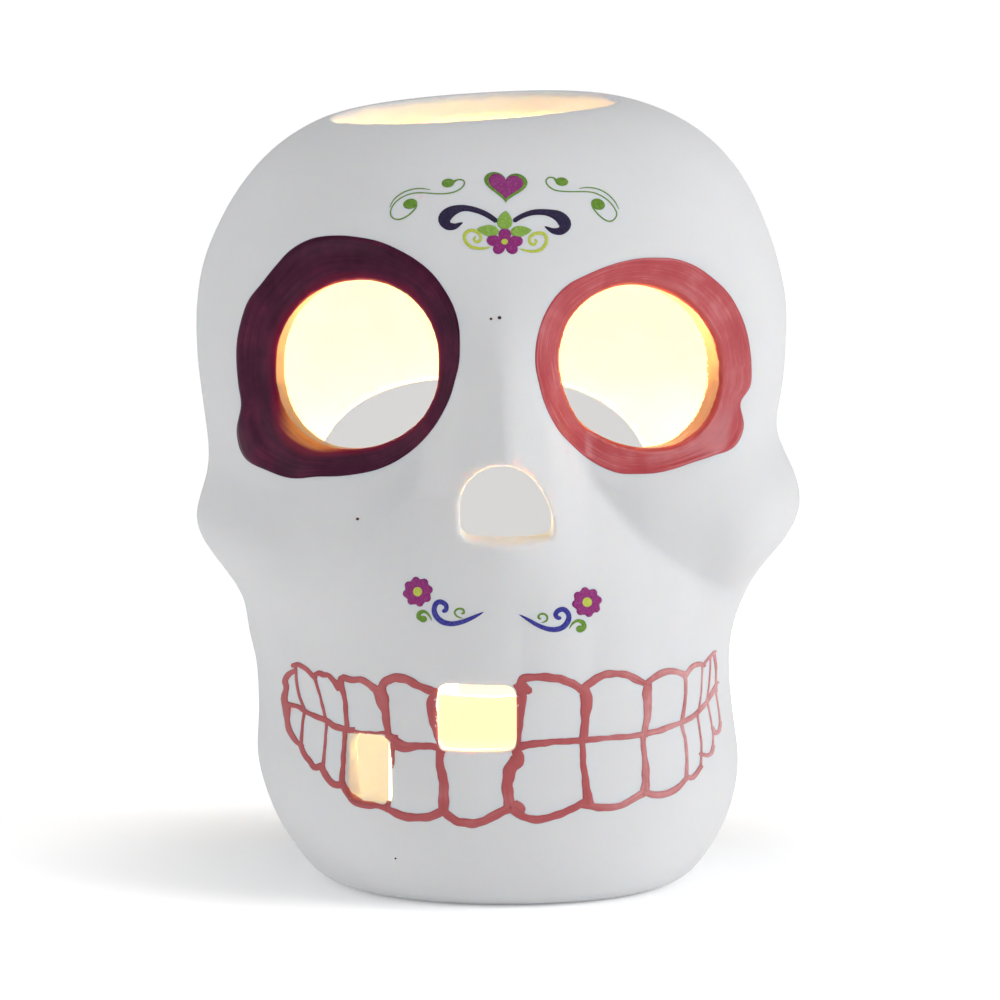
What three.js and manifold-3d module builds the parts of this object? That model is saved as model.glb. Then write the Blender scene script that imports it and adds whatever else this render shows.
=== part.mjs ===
// Calavera lantern: a slip-cast skull with an open crown, lit from inside by a battery tealight.
// Millimetres, +Z up. The face looks along -Y and the foot stands on Z = 0.

import * as THREE from "three";
import Module from "manifold-3d";
import { mergeVertices } from "three/addons/utils/BufferGeometryUtils.js";

const wasm = await Module();
wasm.setup();

const { lerp, smoothstep, degToRad } = THREE.MathUtils;

const clearance = 0.3; // left between pieces that seat on each other

// Skull: reaches run out from the upright axis, heights run up from the table.
const wall = 4.5;
const domeApex = 137.4; // where the dome would close if the crown weren't cut open
const domePower = 2.6;
const domeRoot = 3;
const crownTilt = 0.03; // rise of the crown per millimetre to the right
const craniumHeight = 92;
const craniumHalfWidth = 51.4;
const craniumFront = 50;
const craniumBack = 59;
const waistHeight = 38;
const jawHeight = 23;
const jawHalfWidth = 42.2;
const jawFront = 45;
const jawBack = 46;
const chinDrop = 35; // half height of the ellipse that draws the chin in
const sectionPower = 2.15;
const footShift = 2; // the casting stands a little to one side of its foot
const footFillet = 2.5;
const footRecess = 3.5;
const footRingWidth = 6;
const floorThickness = 5.5;

// Relief of the face: each form reaches forward from the plain skull.
const noseX = 0;
const noseTop = 128;
const noseTip = 74;
const noseUnder = 40;
const noseReach = 10.8;
const noseSwell = 1.6;
const noseTopWidth = 4;
const noseBaseWidth = 8.6;
const noseFlare = 0.7; // widening per millimetre below the tip
const noseTopRounding = 5.5;
const noseTipRounding = 1.6;
const bridgeHeight = 88;
const bridgeTall = 12;
const bridgeNarrow = 0.5; // the bridge falls off sooner on the left
const muzzleHeight = 40;
const muzzleReach = 2.5;
const muzzleHalfWidth = 24;
const muzzleHalfHeight = 15;
const socketDish = 3.2;
const socketRim = 7;
const browCrest = 0.5;
const cheeks = [
  { bearing: -66, height: 63, reach: 7.4, rise: 9.5, fall: 10.5 },
  { bearing: 66, height: 66, reach: 7.9, rise: 9, fall: 10 },
];
const cheekSpread = 30;
const hollowDepth = 6;
const hollowLeftShare = 0.6; // the casting is shallower on that side
const hollowCheekSide = 13;
const hollowCheekEase = 0.35;
const hollowNoseSide = 8;
const hollowRounding = 1;
const hollowPath = [
  { x: 13.4, height: 78.7 },
  { x: 24.6, height: 64.6 },
  { x: 41, height: 53.4 },
];
const reliefShare = 0.7; // how far the inside of the casting follows the face

// Openings through the skull
const crownX = -3.4;
const crownHalfWidth = 25.4;
const crownHalfDepth = 21;
const crownLevel = 135.6; // the plane that the dome is cut off at, over the axis
const crownRise = 0.052;
const crownFall = 0.03;
const crownRounding = 0.5;
const eyes = [
  { x: -27, height: 95.4, width: 32, tall: 29.4, yaw: -29 },
  { x: 24.7, height: 95, width: 31.2, tall: 28, yaw: 29 },
];
const noseHole = { height: 66.3, width: 16.8, tall: 13.3 };
const rearHole = { x: -0.8, height: 57, halfWidth: 31, halfHeight: 23.4, power: 2.8 };
const toothGaps = [
  { bearing: -5.7, height: 35.2, width: 13.6, tall: 11.8 },
  { bearing: -30.9, height: 25.2, width: 8.9, tall: 11.8 },
];
const toothCorner = 1.6;

// Tealight: heights run up from its own underside.
const candleX = 0;
const candleY = 0;
const bodyRadius = 18.5;
const bodyHeight = 25;
const bodyWall = 1.2;
const lipWidth = 2.4;
const deckDip = 2.2;
const plateLift = 0.4;
const plateThickness = 1.6;
const flameRadius = 6.2;
const flameHeight = 18;
const flameWall = 1.1;
const flameBend = 1.6;
const flangeWidth = 2;
const flangeThickness = 1.2;

const cellRadius = 10;
const cellThickness = 3.2;
const wellOffset = 3.2;
const wellWall = 1;
const lugReach = 1.4;
const lugThickness = 1;
const lugSweep = 28;
const capTwist = 40;

const boardThickness = 1;
const boardRadius = 16.4;
const boardBack = 9;
const contactThickness = 0.4;
const contactDrop = 2.1; // room for the upper contact between cell and board
const ledRadius = 2.5;
const ledHeight = 8.6;
const leadLength = 6.5;
const leadSize = 0.5;
const leadPitch = 2.54;
const screwSpread = 18;
const screwY = -11;
const switchY = -12.7;
const switchSize = { x: 8.4, y: 3.8, z: 4.2 };
const sliderTravel = 2;
const sliderStem = { x: 1.8, y: 1.4 };
const sliderHead = { x: 3, y: 2.4, z: 1 };

// Geometry and solids

function solidFrom(geometry) {
  const bare = geometry.index ? geometry.toNonIndexed() : geometry.clone();
  bare.deleteAttribute("normal");
  bare.deleteAttribute("uv");
  const merged = mergeVertices(bare, 1e-4);
  const index = merged.index.array;
  const triVerts = [];
  for (let i = 0; i < index.length; i += 3) {
    const [a, b, c] = [index[i], index[i + 1], index[i + 2]];
    if (a !== b && b !== c && c !== a) {
      triVerts.push(a, b, c);
    }
  }
  return new wasm.Manifold(
    new wasm.Mesh({
      numProp: 3,
      vertProperties: merged.attributes.position.array,
      triVerts: new Uint32Array(triVerts),
    }),
  );
}

function geometryFrom(solid) {
  const { vertProperties, triVerts } = solid.getMesh();
  const geometry = new THREE.BufferGeometry();
  geometry.setAttribute("position", new THREE.BufferAttribute(vertProperties, 3));
  geometry.setIndex(new THREE.BufferAttribute(triVerts, 1));
  geometry.computeVertexNormals();
  return geometry;
}

function turned(profile, segments) {
  return new THREE.LatheGeometry(profile, segments).rotateX(Math.PI / 2);
}

function disc(radius, bottom, top, segments = 36) {
  const profile = [
    new THREE.Vector2(0, bottom),
    new THREE.Vector2(radius, bottom),
    new THREE.Vector2(radius, top),
    new THREE.Vector2(0, top),
  ];
  return turned(profile, segments);
}

function ring(inner, outer, bottom, top, segments = 36) {
  const profile = [
    new THREE.Vector2(inner, bottom),
    new THREE.Vector2(outer, bottom),
    new THREE.Vector2(outer, top),
    new THREE.Vector2(inner, top),
    new THREE.Vector2(inner, bottom),
  ];
  return turned(profile, segments);
}

function block(sizeX, sizeY, bottom, top) {
  return new THREE.BoxGeometry(sizeX, sizeY, top - bottom).translate(0, 0, (bottom + top) / 2);
}

function upright(shape, bottom, top) {
  const options = { depth: top - bottom, bevelEnabled: false, curveSegments: 10 };
  return new THREE.ExtrudeGeometry(shape, options).translate(0, 0, bottom);
}

// A prism whose outline stands upright and whose length runs out from the axis along a bearing
function outward(shape, bearing, near, far) {
  const options = { depth: far - near, bevelEnabled: false, curveSegments: 10 };
  return new THREE.ExtrudeGeometry(shape, options)
    .translate(0, 0, near)
    .rotateX(Math.PI / 2)
    .rotateZ(degToRad(bearing));
}

function superellipse(halfWidth, halfHeight, power, count) {
  const points = [];
  for (let i = 0; i < count; i += 1) {
    const turn = (2 * Math.PI * i) / count;
    const c = Math.cos(turn);
    const s = Math.sin(turn);
    const size = (Math.abs(c) ** power + Math.abs(s) ** power) ** (-1 / power);
    points.push(new THREE.Vector2(halfWidth * size * c, halfHeight * size * s));
  }
  return new THREE.Shape(points);
}

function roundedBox(width, height, corner) {
  const x = width / 2;
  const y = height / 2;
  const shape = new THREE.Shape();
  shape.moveTo(-x + corner, -y);
  shape.lineTo(x - corner, -y);
  shape.absarc(x - corner, -y + corner, corner, -Math.PI / 2, 0);
  shape.lineTo(x, y - corner);
  shape.absarc(x - corner, y - corner, corner, 0, Math.PI / 2);
  shape.lineTo(-x + corner, y);
  shape.absarc(-x + corner, y - corner, corner, Math.PI / 2, Math.PI);
  shape.lineTo(-x, -y + corner);
  shape.absarc(-x + corner, -y + corner, corner, Math.PI, 1.5 * Math.PI);
  return shape;
}

// Skull form

function reachAt(height, jaw, cranium, inset) {
  let reach = lerp(jaw, cranium, smoothstep(height, waistHeight, craniumHeight)) - inset;
  if (height > craniumHeight) {
    const climb = Math.min((height - craniumHeight) / (domeApex - inset - craniumHeight), 1);
    reach *= (1 - climb ** domePower) ** (1 / domeRoot);
  }
  if (height < jawHeight) {
    reach *= Math.sqrt(1 - ((jawHeight - height) / chinDrop) ** 2);
  }
  if (height < footFillet) {
    reach -= footFillet - Math.sqrt(footFillet ** 2 - (footFillet - height) ** 2);
  }
  return reach;
}

function bell(offset, spread) {
  return Math.exp(-((offset / spread) ** 2));
}

// A crest or valley with a narrow rounded line and long straight flanks
function ridge(offset, spread, rounding) {
  return Math.exp((rounding - Math.hypot(offset, rounding)) / spread);
}

// Follows a value over zero and stays at zero below it, with a rounded turn
function softly(value, rounding) {
  const share = value / rounding;
  return share > 30 ? value : rounding * Math.log(1 + Math.exp(share));
}

function noseRelief(x, height) {
  const down = Math.min(Math.max((noseTop - height) / (noseTop - noseTip), 0), 1);
  const below = Math.max(noseTip - height, 0);
  const fade = smoothstep(height, noseTip - noseUnder, noseTip);
  const narrow = x < noseX ? 1 - bridgeNarrow * bell(height - bridgeHeight, bridgeTall) : 1;
  const width = (lerp(noseTopWidth, noseBaseWidth, down) + noseFlare * below) * narrow;
  const rounding = lerp(noseTopRounding, noseTipRounding, down) + below / 2;
  return noseReach * down ** noseSwell * fade * ridge(x - noseX, width, rounding);
}

function socketRelief(x, height) {
  let relief = 0;
  for (const eye of eyes) {
    const across = (x - eye.x) / ((eye.width / 2) * Math.cos(degToRad(eye.yaw)) + socketRim);
    const up = (height - eye.height) / (eye.tall / 2 + socketRim);
    const away = Math.hypot(across, up);
    relief -= socketDish * (1 - smoothstep(away, 0.62, 1));
    relief += browCrest * bell(away - 1.12, 0.2);
  }
  return relief;
}

// The valley from the inner corner of the eye down under the cheekbone, steep on the cheek's side
function hollowRelief(x, height) {
  const reach = Math.abs(x - noseX);
  const [inner, bend, outer] = hollowPath;
  const [from, to] = reach > bend.x ? [bend, outer] : [inner, bend];
  const line = lerp(from.height, to.height, (reach - from.x) / (to.x - from.x));
  const away = (height - line) * 0.75;
  const fade = smoothstep(reach, inner.x / 2, inner.x) * (1 - smoothstep(reach, outer.x - 5, outer.x + 6));
  const share = x > noseX ? 1 : hollowLeftShare;
  const depth = -hollowDepth * share * fade;
  if (away < 0) {
    return depth * ridge(away, hollowNoseSide, hollowRounding);
  }
  const climb = away / hollowCheekSide - 1;
  return depth * (softly(climb, hollowCheekEase) - climb);
}

function faceRelief(x, height) {
  const muzzle = bell(x, muzzleHalfWidth) * bell(height - muzzleHeight, muzzleHalfHeight);
  return noseRelief(x, height) + socketRelief(x, height) + hollowRelief(x, height) + muzzleReach * muzzle;
}

function cheekRelief(bearing, height) {
  let relief = 0;
  for (const cheek of cheeks) {
    const side = bell(bearing - degToRad(cheek.bearing), degToRad(cheekSpread));
    const spread = height > cheek.height ? cheek.rise : cheek.fall;
    relief += cheek.reach * side * bell(height - cheek.height, spread);
  }
  return relief;
}

function driftAt(height) {
  return footShift * (1 - smoothstep(height, 0, waistHeight));
}

function skullPoint(bearing, height, inset, share) {
  const across = Math.sin(bearing);
  const ahead = Math.cos(bearing);
  const size = (Math.abs(across) ** sectionPower + Math.abs(ahead) ** sectionPower) ** (-1 / sectionPower);
  const halfWidth = reachAt(height, jawHalfWidth, craniumHalfWidth, inset);
  const front = reachAt(height, jawFront, craniumFront, inset);
  const back = reachAt(height, jawBack, craniumBack, inset);
  const cheek = share * cheekRelief(bearing, height);
  const x = halfWidth * size * across + cheek * across;
  const depth = ahead > 0 ? front : back;
  const facing = smoothstep(ahead, 0.05, 0.5);
  const relief = share * facing * faceRelief(x, height);
  const y = -depth * size * ahead - cheek * ahead - relief;
  const tilt = crownTilt * x * smoothstep(height, craniumHeight, domeApex);
  const level = crownLevel - inset + crownRise * x - crownFall * y;
  const over = softly(height + tilt - level, crownRounding);
  return new THREE.Vector3(x + driftAt(height), y, height + tilt - over);
}

function heights(bottom, apex, lowerSteps, domeSteps) {
  const list = [];
  for (let i = 0; i < lowerSteps; i += 1) {
    list.push(lerp(bottom, craniumHeight, i / lowerSteps));
  }
  for (let i = 0; i < domeSteps; i += 1) {
    list.push(lerp(craniumHeight, apex, Math.sin((Math.PI / 2) * (i / domeSteps))));
  }
  return list;
}

// A lathe of unit radius, pushed out to the skull; facets crowd towards the face.
function skullBody(levels, apex, segments, inset, share) {
  const profile = levels.map((height) => new THREE.Vector2(1, height));
  profile.unshift(new THREE.Vector2(0, levels[0]));
  profile.push(new THREE.Vector2(0, apex));
  const geometry = turned(profile, segments);
  const position = geometry.attributes.position;
  const crowding = 0.42;
  for (let i = 0; i < position.count; i += 1) {
    const height = position.getZ(i);
    if (Math.hypot(position.getX(i), position.getY(i)) < 0.5) {
      position.setXYZ(i, driftAt(height), 0, height);
    } else {
      const turn = Math.atan2(position.getX(i), -position.getY(i));
      const point = skullPoint(turn - crowding * Math.sin(turn), height, inset, share);
      position.setXYZ(i, point.x, point.y, point.z);
    }
  }
  return geometry;
}

function skullShell() {
  const floorTop = footRecess + floorThickness;
  const outerLevels = [0, footFillet / 4, ...heights(footFillet, domeApex, 30, 11)];
  const innerApex = domeApex - wall;
  const innerLevels = heights(floorTop, innerApex, 15, 7);
  const outer = solidFrom(skullBody(outerLevels, domeApex, 76, 0, 1));
  const inner = solidFrom(skullBody(innerLevels, innerApex, 40, wall, reliefShare));

  const crown = superellipse(crownHalfWidth, crownHalfDepth, 2, 48);
  const footWidth = reachAt(0, jawHalfWidth, craniumHalfWidth, 0) - footRingWidth;
  const footFront = reachAt(0, jawFront, craniumFront, 0) - footRingWidth;
  const foot = superellipse(footWidth, footFront, sectionPower, 40);
  const cutters = [
    upright(crown, (craniumHeight + domeApex) / 2, domeApex + 10).translate(crownX, 0, 0),
    upright(foot, -10, footRecess).translate(footShift, 0, 0),
  ];

  for (const eye of eyes) {
    const outline = superellipse(eye.width / 2, eye.tall / 2, 2.2, 36);
    const shift = eye.x - craniumFront * Math.sin(degToRad(eye.yaw));
    cutters.push(outward(outline, eye.yaw, 20, 80).translate(shift, 0, eye.height));
  }

  const arch = new THREE.Shape();
  const halfNose = noseHole.width / 2;
  const shoulder = noseHole.tall * 0.42;
  const noseCorner = 2.2;
  arch.moveTo(-halfNose + noseCorner, 0);
  arch.lineTo(halfNose - noseCorner, 0);
  arch.quadraticCurveTo(halfNose, 0, halfNose, noseCorner);
  arch.lineTo(halfNose, shoulder);
  arch.bezierCurveTo(halfNose * 0.9, noseHole.tall, halfNose * 0.5, noseHole.tall, 0, noseHole.tall);
  arch.bezierCurveTo(-halfNose * 0.5, noseHole.tall, -halfNose * 0.9, noseHole.tall, -halfNose, shoulder);
  arch.lineTo(-halfNose, noseCorner);
  arch.quadraticCurveTo(-halfNose, 0, -halfNose + noseCorner, 0);
  cutters.push(outward(arch, 0, 20, 80).translate(noseX, 0, noseHole.height));

  for (const gap of toothGaps) {
    const outline = roundedBox(gap.width, gap.tall, toothCorner);
    cutters.push(outward(outline, gap.bearing, 22, 80).translate(0, 0, gap.height));
  }

  const { halfWidth, halfHeight, power } = rearHole;
  const rear = superellipse(halfWidth, halfHeight, power, 44);
  cutters.push(outward(rear, 180, 15, 90).translate(rearHole.x, 0, rearHole.height));

  let shell = outer.subtract(inner);
  for (const cutter of cutters) {
    shell = shell.subtract(solidFrom(cutter));
  }
  return geometryFrom(shell);
}

// Tealight levels, worked up from its underside
const plateTop = plateLift + plateThickness;
const lugBottom = plateTop + clearance;
const capTop = lugBottom + lugThickness;
const cellBottom = capTop + clearance;
const cellTop = cellBottom + cellThickness;
const boardBottom = cellTop + contactDrop;
const boardTop = boardBottom + boardThickness;
const ledBottom = boardTop + leadLength;
const deckTop = bodyHeight - deckDip;
const deckUnder = deckTop - bodyWall;
const housingInner = bodyRadius - bodyWall;
const capRadius = cellRadius + 0.9;
const capHoleRadius = capRadius + clearance;
const wellInner = capRadius + lugReach + clearance;
const wellOuter = wellInner + wellWall;
const collarRadius = flameRadius + clearance;
const screwX = screwSpread / 2;
const screwShank = 0.9;
const screwHead = 1.9;
const bossRadius = screwShank + clearance + bodyWall;

function housing() {
  const profile = new THREE.Path();
  const lip = lipWidth / 2;
  profile.moveTo(housingInner, 0);
  profile.lineTo(bodyRadius, 0);
  profile.lineTo(bodyRadius, bodyHeight - lip);
  profile.quadraticCurveTo(bodyRadius, bodyHeight, bodyRadius - lip, bodyHeight);
  profile.quadraticCurveTo(bodyRadius - lipWidth, bodyHeight, bodyRadius - 1.6 * lipWidth, bodyHeight - deckDip / 2);
  profile.quadraticCurveTo(bodyRadius - 2.2 * lipWidth, deckTop, collarRadius + lipWidth, deckTop);
  profile.lineTo(collarRadius, deckTop);
  profile.lineTo(collarRadius, deckUnder);
  profile.lineTo(housingInner - lipWidth, deckUnder);
  profile.quadraticCurveTo(housingInner, deckUnder, housingInner, deckUnder - lipWidth);
  profile.lineTo(housingInner, 0);
  let solid = solidFrom(turned(profile.getPoints(3), 36));
  for (const side of [-1, 1]) {
    const bottom = boardTop + clearance;
    const boss = disc(bossRadius, bottom, deckUnder + bodyWall / 2, 16).translate(side * screwX, screwY, 0);
    const pilot = disc(screwShank + clearance, bottom - 1, deckUnder - 1, 16).translate(side * screwX, screwY, 0);
    solid = solid.add(solidFrom(boss)).subtract(solidFrom(pilot));
  }
  return geometryFrom(solid);
}

function flameLens() {
  const flangeTop = deckUnder - clearance;
  const flangeBottom = flangeTop - flangeThickness;
  const belly = deckTop + 3;
  const tip = deckTop + flameHeight;
  const inside = flameRadius - flameWall;
  const profile = new THREE.Path();
  profile.moveTo(inside, flangeBottom);
  profile.lineTo(flameRadius + flangeWidth, flangeBottom);
  profile.lineTo(flameRadius + flangeWidth, flangeTop);
  profile.lineTo(flameRadius, flangeTop);
  profile.lineTo(flameRadius, belly);
  profile.bezierCurveTo(flameRadius, belly + 7, flameRadius * 0.3, tip - 6, 0, tip);
  const outer = profile.getPoints(7);
  const hollow = new THREE.Path();
  hollow.moveTo(0, tip - 4 * flameWall);
  hollow.bezierCurveTo(inside * 0.3, tip - 8, inside, belly + 6, inside, belly);
  hollow.lineTo(inside, flangeBottom);
  const geometry = turned([...outer, ...hollow.getPoints(6)], 20);
  const position = geometry.attributes.position;
  for (let i = 0; i < position.count; i += 1) {
    const rise = Math.max((position.getZ(i) - belly) / (tip - belly), 0);
    position.setX(i, position.getX(i) + flameBend * rise ** 2);
  }
  return geometry;
}

function led() {
  const flange = ledRadius + 0.4;
  const profile = new THREE.Path();
  profile.moveTo(0, ledBottom);
  profile.lineTo(flange, ledBottom);
  profile.lineTo(flange, ledBottom + 1);
  profile.lineTo(ledRadius, ledBottom + 1);
  profile.lineTo(ledRadius, ledBottom + ledHeight - ledRadius);
  profile.absarc(0, ledBottom + ledHeight - ledRadius, ledRadius, 0, Math.PI / 2);
  return turned(profile.getPoints(4), 16);
}

function ledLead(side) {
  const tail = boardBottom - 0.8;
  return block(leadSize, leadSize, tail, ledBottom - clearance).translate((side * leadPitch) / 2, 0, 0);
}

function circuitBoard() {
  const start = Math.asin(boardBack / boardRadius);
  const outline = new THREE.Shape();
  outline.absarc(0, 0, boardRadius, Math.PI - start, 2 * Math.PI + start);
  outline.closePath();
  for (const side of [-1, 1]) {
    const leadHole = new THREE.Path();
    leadHole.absarc((side * leadPitch) / 2, 0, leadSize + clearance, 0, 2 * Math.PI, true);
    const screwHole = new THREE.Path();
    screwHole.absarc(side * screwX, screwY, screwShank + clearance, 0, 2 * Math.PI, true);
    outline.holes.push(leadHole, screwHole);
  }
  return upright(outline, boardBottom, boardTop);
}

function boardScrew(side) {
  const headTop = boardBottom - clearance;
  const tip = deckUnder - 2;
  const profile = [
    new THREE.Vector2(0, headTop - 1.2),
    new THREE.Vector2(screwHead * 0.75, headTop - 1.2),
    new THREE.Vector2(screwHead, headTop - 0.5),
    new THREE.Vector2(screwHead, headTop),
    new THREE.Vector2(screwShank, headTop),
    new THREE.Vector2(screwShank, tip - 1.2),
    new THREE.Vector2(0, tip),
  ];
  return turned(profile, 12).translate(side * screwX, screwY, 0);
}

function stemSlot(bottom, top) {
  const length = sliderStem.x + sliderTravel + 2 * clearance;
  return block(length, sliderStem.y + 2 * clearance, bottom, top).translate(0, switchY, 0);
}

const switchTop = boardBottom - clearance;
const switchBottom = switchTop - switchSize.z;
const headBottom = switchBottom + 0.8 + clearance;

function switchBody() {
  const channelLength = sliderHead.x + sliderTravel + 2 * clearance;
  const channelTop = headBottom + sliderHead.z + clearance;
  const body = block(switchSize.x, switchSize.y, switchBottom, switchTop);
  const channel = block(channelLength, sliderHead.y + 2 * clearance, headBottom - clearance, channelTop);
  return geometryFrom(
    solidFrom(body.translate(0, switchY, 0))
      .subtract(solidFrom(channel.translate(0, switchY, 0)))
      .subtract(solidFrom(stemSlot(switchBottom - 1, headBottom))),
  );
}

function switchSlider() {
  const head = block(sliderHead.x, sliderHead.y, headBottom, headBottom + sliderHead.z);
  const stem = block(sliderStem.x, sliderStem.y, plateLift + clearance, headBottom + sliderHead.z / 2);
  const rest = -sliderTravel / 2;
  return geometryFrom(
    solidFrom(head.translate(rest, switchY, 0)).add(solidFrom(stem.translate(rest, switchY, 0))),
  );
}

function coinCell() {
  const step = cellTop - 0.6;
  const profile = [
    new THREE.Vector2(0, cellBottom),
    new THREE.Vector2(cellRadius - 0.3, cellBottom),
    new THREE.Vector2(cellRadius, cellBottom + 0.3),
    new THREE.Vector2(cellRadius, step - 0.2),
    new THREE.Vector2(cellRadius - 0.2, step),
    new THREE.Vector2(cellRadius - 1.2, step),
    new THREE.Vector2(cellRadius - 1.5, cellTop),
    new THREE.Vector2(0, cellTop),
  ];
  return turned(profile, 36).translate(0, wellOffset, 0);
}

// A bent strip: its outline lies in the XZ plane and its width runs along Y.
function strip(outline, width) {
  const options = { depth: width, bevelEnabled: false };
  return new THREE.ExtrudeGeometry(new THREE.Shape(outline), options)
    .rotateX(Math.PI / 2)
    .translate(0, wellOffset + width / 2, 0);
}

function contactPositive() {
  const t = contactThickness;
  const near = cellRadius + clearance;
  const far = (near + wellInner) / 2;
  const top = boardBottom - clearance;
  const low = cellBottom + 0.4;
  const mid = cellBottom + cellThickness / 2;
  return strip(
    [
      new THREE.Vector2(far, low),
      new THREE.Vector2(far + t, low),
      new THREE.Vector2(near + t, mid),
      new THREE.Vector2(far + t, cellTop),
      new THREE.Vector2(far + t, top),
      new THREE.Vector2(far - 1.4, top),
      new THREE.Vector2(far - 1.4, top - t),
      new THREE.Vector2(far, top - t),
      new THREE.Vector2(far, cellTop),
      new THREE.Vector2(near, mid),
    ],
    4.5,
  );
}

function contactNegative() {
  const t = contactThickness;
  const top = boardBottom - clearance;
  const low = cellTop + clearance;
  const root = -0.75 * cellRadius;
  const toe = 0.3 * cellRadius;
  return strip(
    [
      new THREE.Vector2(root, top - t),
      new THREE.Vector2(root + 3, top - t),
      new THREE.Vector2(-1, low),
      new THREE.Vector2(1, low),
      new THREE.Vector2(toe, low + 0.7),
      new THREE.Vector2(toe, low + 0.7 + t),
      new THREE.Vector2(1, low + t),
      new THREE.Vector2(-1, low + t),
      new THREE.Vector2(root + 3, top),
      new THREE.Vector2(root, top),
    ],
    3.6,
  );
}

function wedge(radius, sweep, middle, bottom, top) {
  const shape = new THREE.Shape();
  const half = degToRad(sweep / 2);
  const turn = degToRad(middle);
  shape.moveTo(0, 0);
  shape.lineTo(radius * Math.cos(turn - half), radius * Math.sin(turn - half));
  shape.absarc(0, 0, radius, turn - half, turn + half);
  shape.closePath();
  return upright(shape, bottom, top).translate(0, wellOffset, 0);
}

function basePlate() {
  const wellTop = boardBottom - clearance;
  const disk = disc(housingInner - clearance, plateLift, plateTop);
  const well = ring(wellInner, wellOuter, plateTop - plateThickness / 2, wellTop).translate(0, wellOffset, 0);
  const hole = disc(capHoleRadius, plateLift - 1, plateTop + 1).translate(0, wellOffset, 0);
  let solid = solidFrom(disk).add(solidFrom(well)).subtract(solidFrom(hole));
  solid = solid.subtract(solidFrom(stemSlot(plateLift - 1, plateTop + 1)));
  for (const side of [0, 180]) {
    const notch = wedge(capRadius + lugReach + clearance, lugSweep + 4, side - capTwist, plateLift - 1, plateTop + 1);
    solid = solid.subtract(solidFrom(notch));
  }
  return geometryFrom(solid);
}

function batteryCap() {
  let solid = solidFrom(disc(capRadius, plateLift, capTop).translate(0, wellOffset, 0));
  for (const side of [0, 180]) {
    const lug = wedge(capRadius + lugReach, lugSweep, side, lugBottom, capTop);
    solid = solid.add(solidFrom(lug));
  }
  const coinSlot = block(1.25 * capRadius, 2, plateLift - 1, plateLift + 0.9).translate(0, wellOffset, 0);
  return geometryFrom(solid.subtract(solidFrom(coinSlot)));
}

// Assembly

const colours = {
  bisque: 0xcfcac6,
  ivoryPlastic: 0xf1ede2,
  flamePlastic: 0xffe2a8,
  clearEpoxy: 0xf2e6b8,
  tinned: 0xb9bcbd,
  greenBoard: 0x2f6b46,
  blackPlastic: 0x26272a,
  springSteel: 0xc3c5c6,
  zinc: 0xa9adb0,
};

function piece(name, geometry, colour, glow = 0x000000) {
  const material = new THREE.MeshStandardMaterial({ color: colour, emissive: glow, roughness: 0.6 });
  const mesh = new THREE.Mesh(geometry, material);
  mesh.name = name;
  return mesh;
}

const lantern = new THREE.Group();
lantern.name = "calavera_lantern";
lantern.add(piece("skull_shell", skullShell(), colours.bisque));

const tealight = new THREE.Group();
tealight.name = "tealight";
tealight.position.set(candleX, candleY, footRecess + floorThickness + clearance);
tealight.add(
  piece("tealight_housing", housing(), colours.ivoryPlastic),
  piece("flame_lens", flameLens(), colours.flamePlastic, 0xffb84a),
  piece("led", led(), colours.clearEpoxy, 0xffb84a),
  piece("led_lead_anode", ledLead(-1), colours.tinned),
  piece("led_lead_cathode", ledLead(1), colours.tinned),
  piece("circuit_board", circuitBoard(), colours.greenBoard),
  piece("board_screw_left", boardScrew(-1), colours.zinc),
  piece("board_screw_right", boardScrew(1), colours.zinc),
  piece("switch_body", switchBody(), colours.blackPlastic),
  piece("switch_slider", switchSlider(), colours.blackPlastic),
  piece("contact_positive", contactPositive(), colours.springSteel),
  piece("contact_negative", contactNegative(), colours.springSteel),
  piece("coin_cell", coinCell(), colours.springSteel),
  piece("base_plate", basePlate(), colours.ivoryPlastic),
  piece("battery_cap", batteryCap(), colours.ivoryPlastic),
);
lantern.add(tealight);

// The origin lies under the middle of the skull.
const middle = new THREE.Box3().setFromObject(lantern).getCenter(new THREE.Vector3());
lantern.position.set(-middle.x, -middle.y, 0);

export default lantern;
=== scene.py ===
# Calavera lantern: a slip-cast bisque skull painted by hand, lit from inside by a battery tealight.
# The frame is in metres; the skull's own form is worked out in millimetres from its upright axis.
import math
import bmesh
import bpy
from functools import partial
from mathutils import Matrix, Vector, noise
from mathutils.bvhtree import BVHTree


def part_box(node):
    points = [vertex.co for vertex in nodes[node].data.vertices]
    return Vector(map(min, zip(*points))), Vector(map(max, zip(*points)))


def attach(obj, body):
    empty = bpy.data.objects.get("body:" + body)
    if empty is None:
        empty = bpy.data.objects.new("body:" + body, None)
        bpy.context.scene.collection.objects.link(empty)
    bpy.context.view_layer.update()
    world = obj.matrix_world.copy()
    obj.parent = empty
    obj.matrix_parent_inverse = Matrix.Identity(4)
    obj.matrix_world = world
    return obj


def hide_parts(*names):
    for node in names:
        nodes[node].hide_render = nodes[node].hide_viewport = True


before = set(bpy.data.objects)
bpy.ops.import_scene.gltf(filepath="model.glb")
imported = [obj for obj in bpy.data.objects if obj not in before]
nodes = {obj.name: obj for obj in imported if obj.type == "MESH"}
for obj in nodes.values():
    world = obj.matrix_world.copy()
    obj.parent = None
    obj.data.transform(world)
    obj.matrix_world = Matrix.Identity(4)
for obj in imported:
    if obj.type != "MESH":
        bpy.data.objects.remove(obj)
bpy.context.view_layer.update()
scene = bpy.context.scene
scene.view_settings.view_transform = "Standard"
mm = 0.001

low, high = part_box("tealight_housing")
axis = Vector(((low.x + high.x) / 2, (low.y + high.y) / 2, 0))  # the skull is built round the tealight
sideways = Vector((1, 0, 0))
backwards = Vector((0, 1, 0))
upwards = Vector((0, 0, 1))


def lerp(a, b, share):
    return a + (b - a) * share


def clamp(value, least=0.0, most=1.0):
    return min(max(value, least), most)


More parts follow.
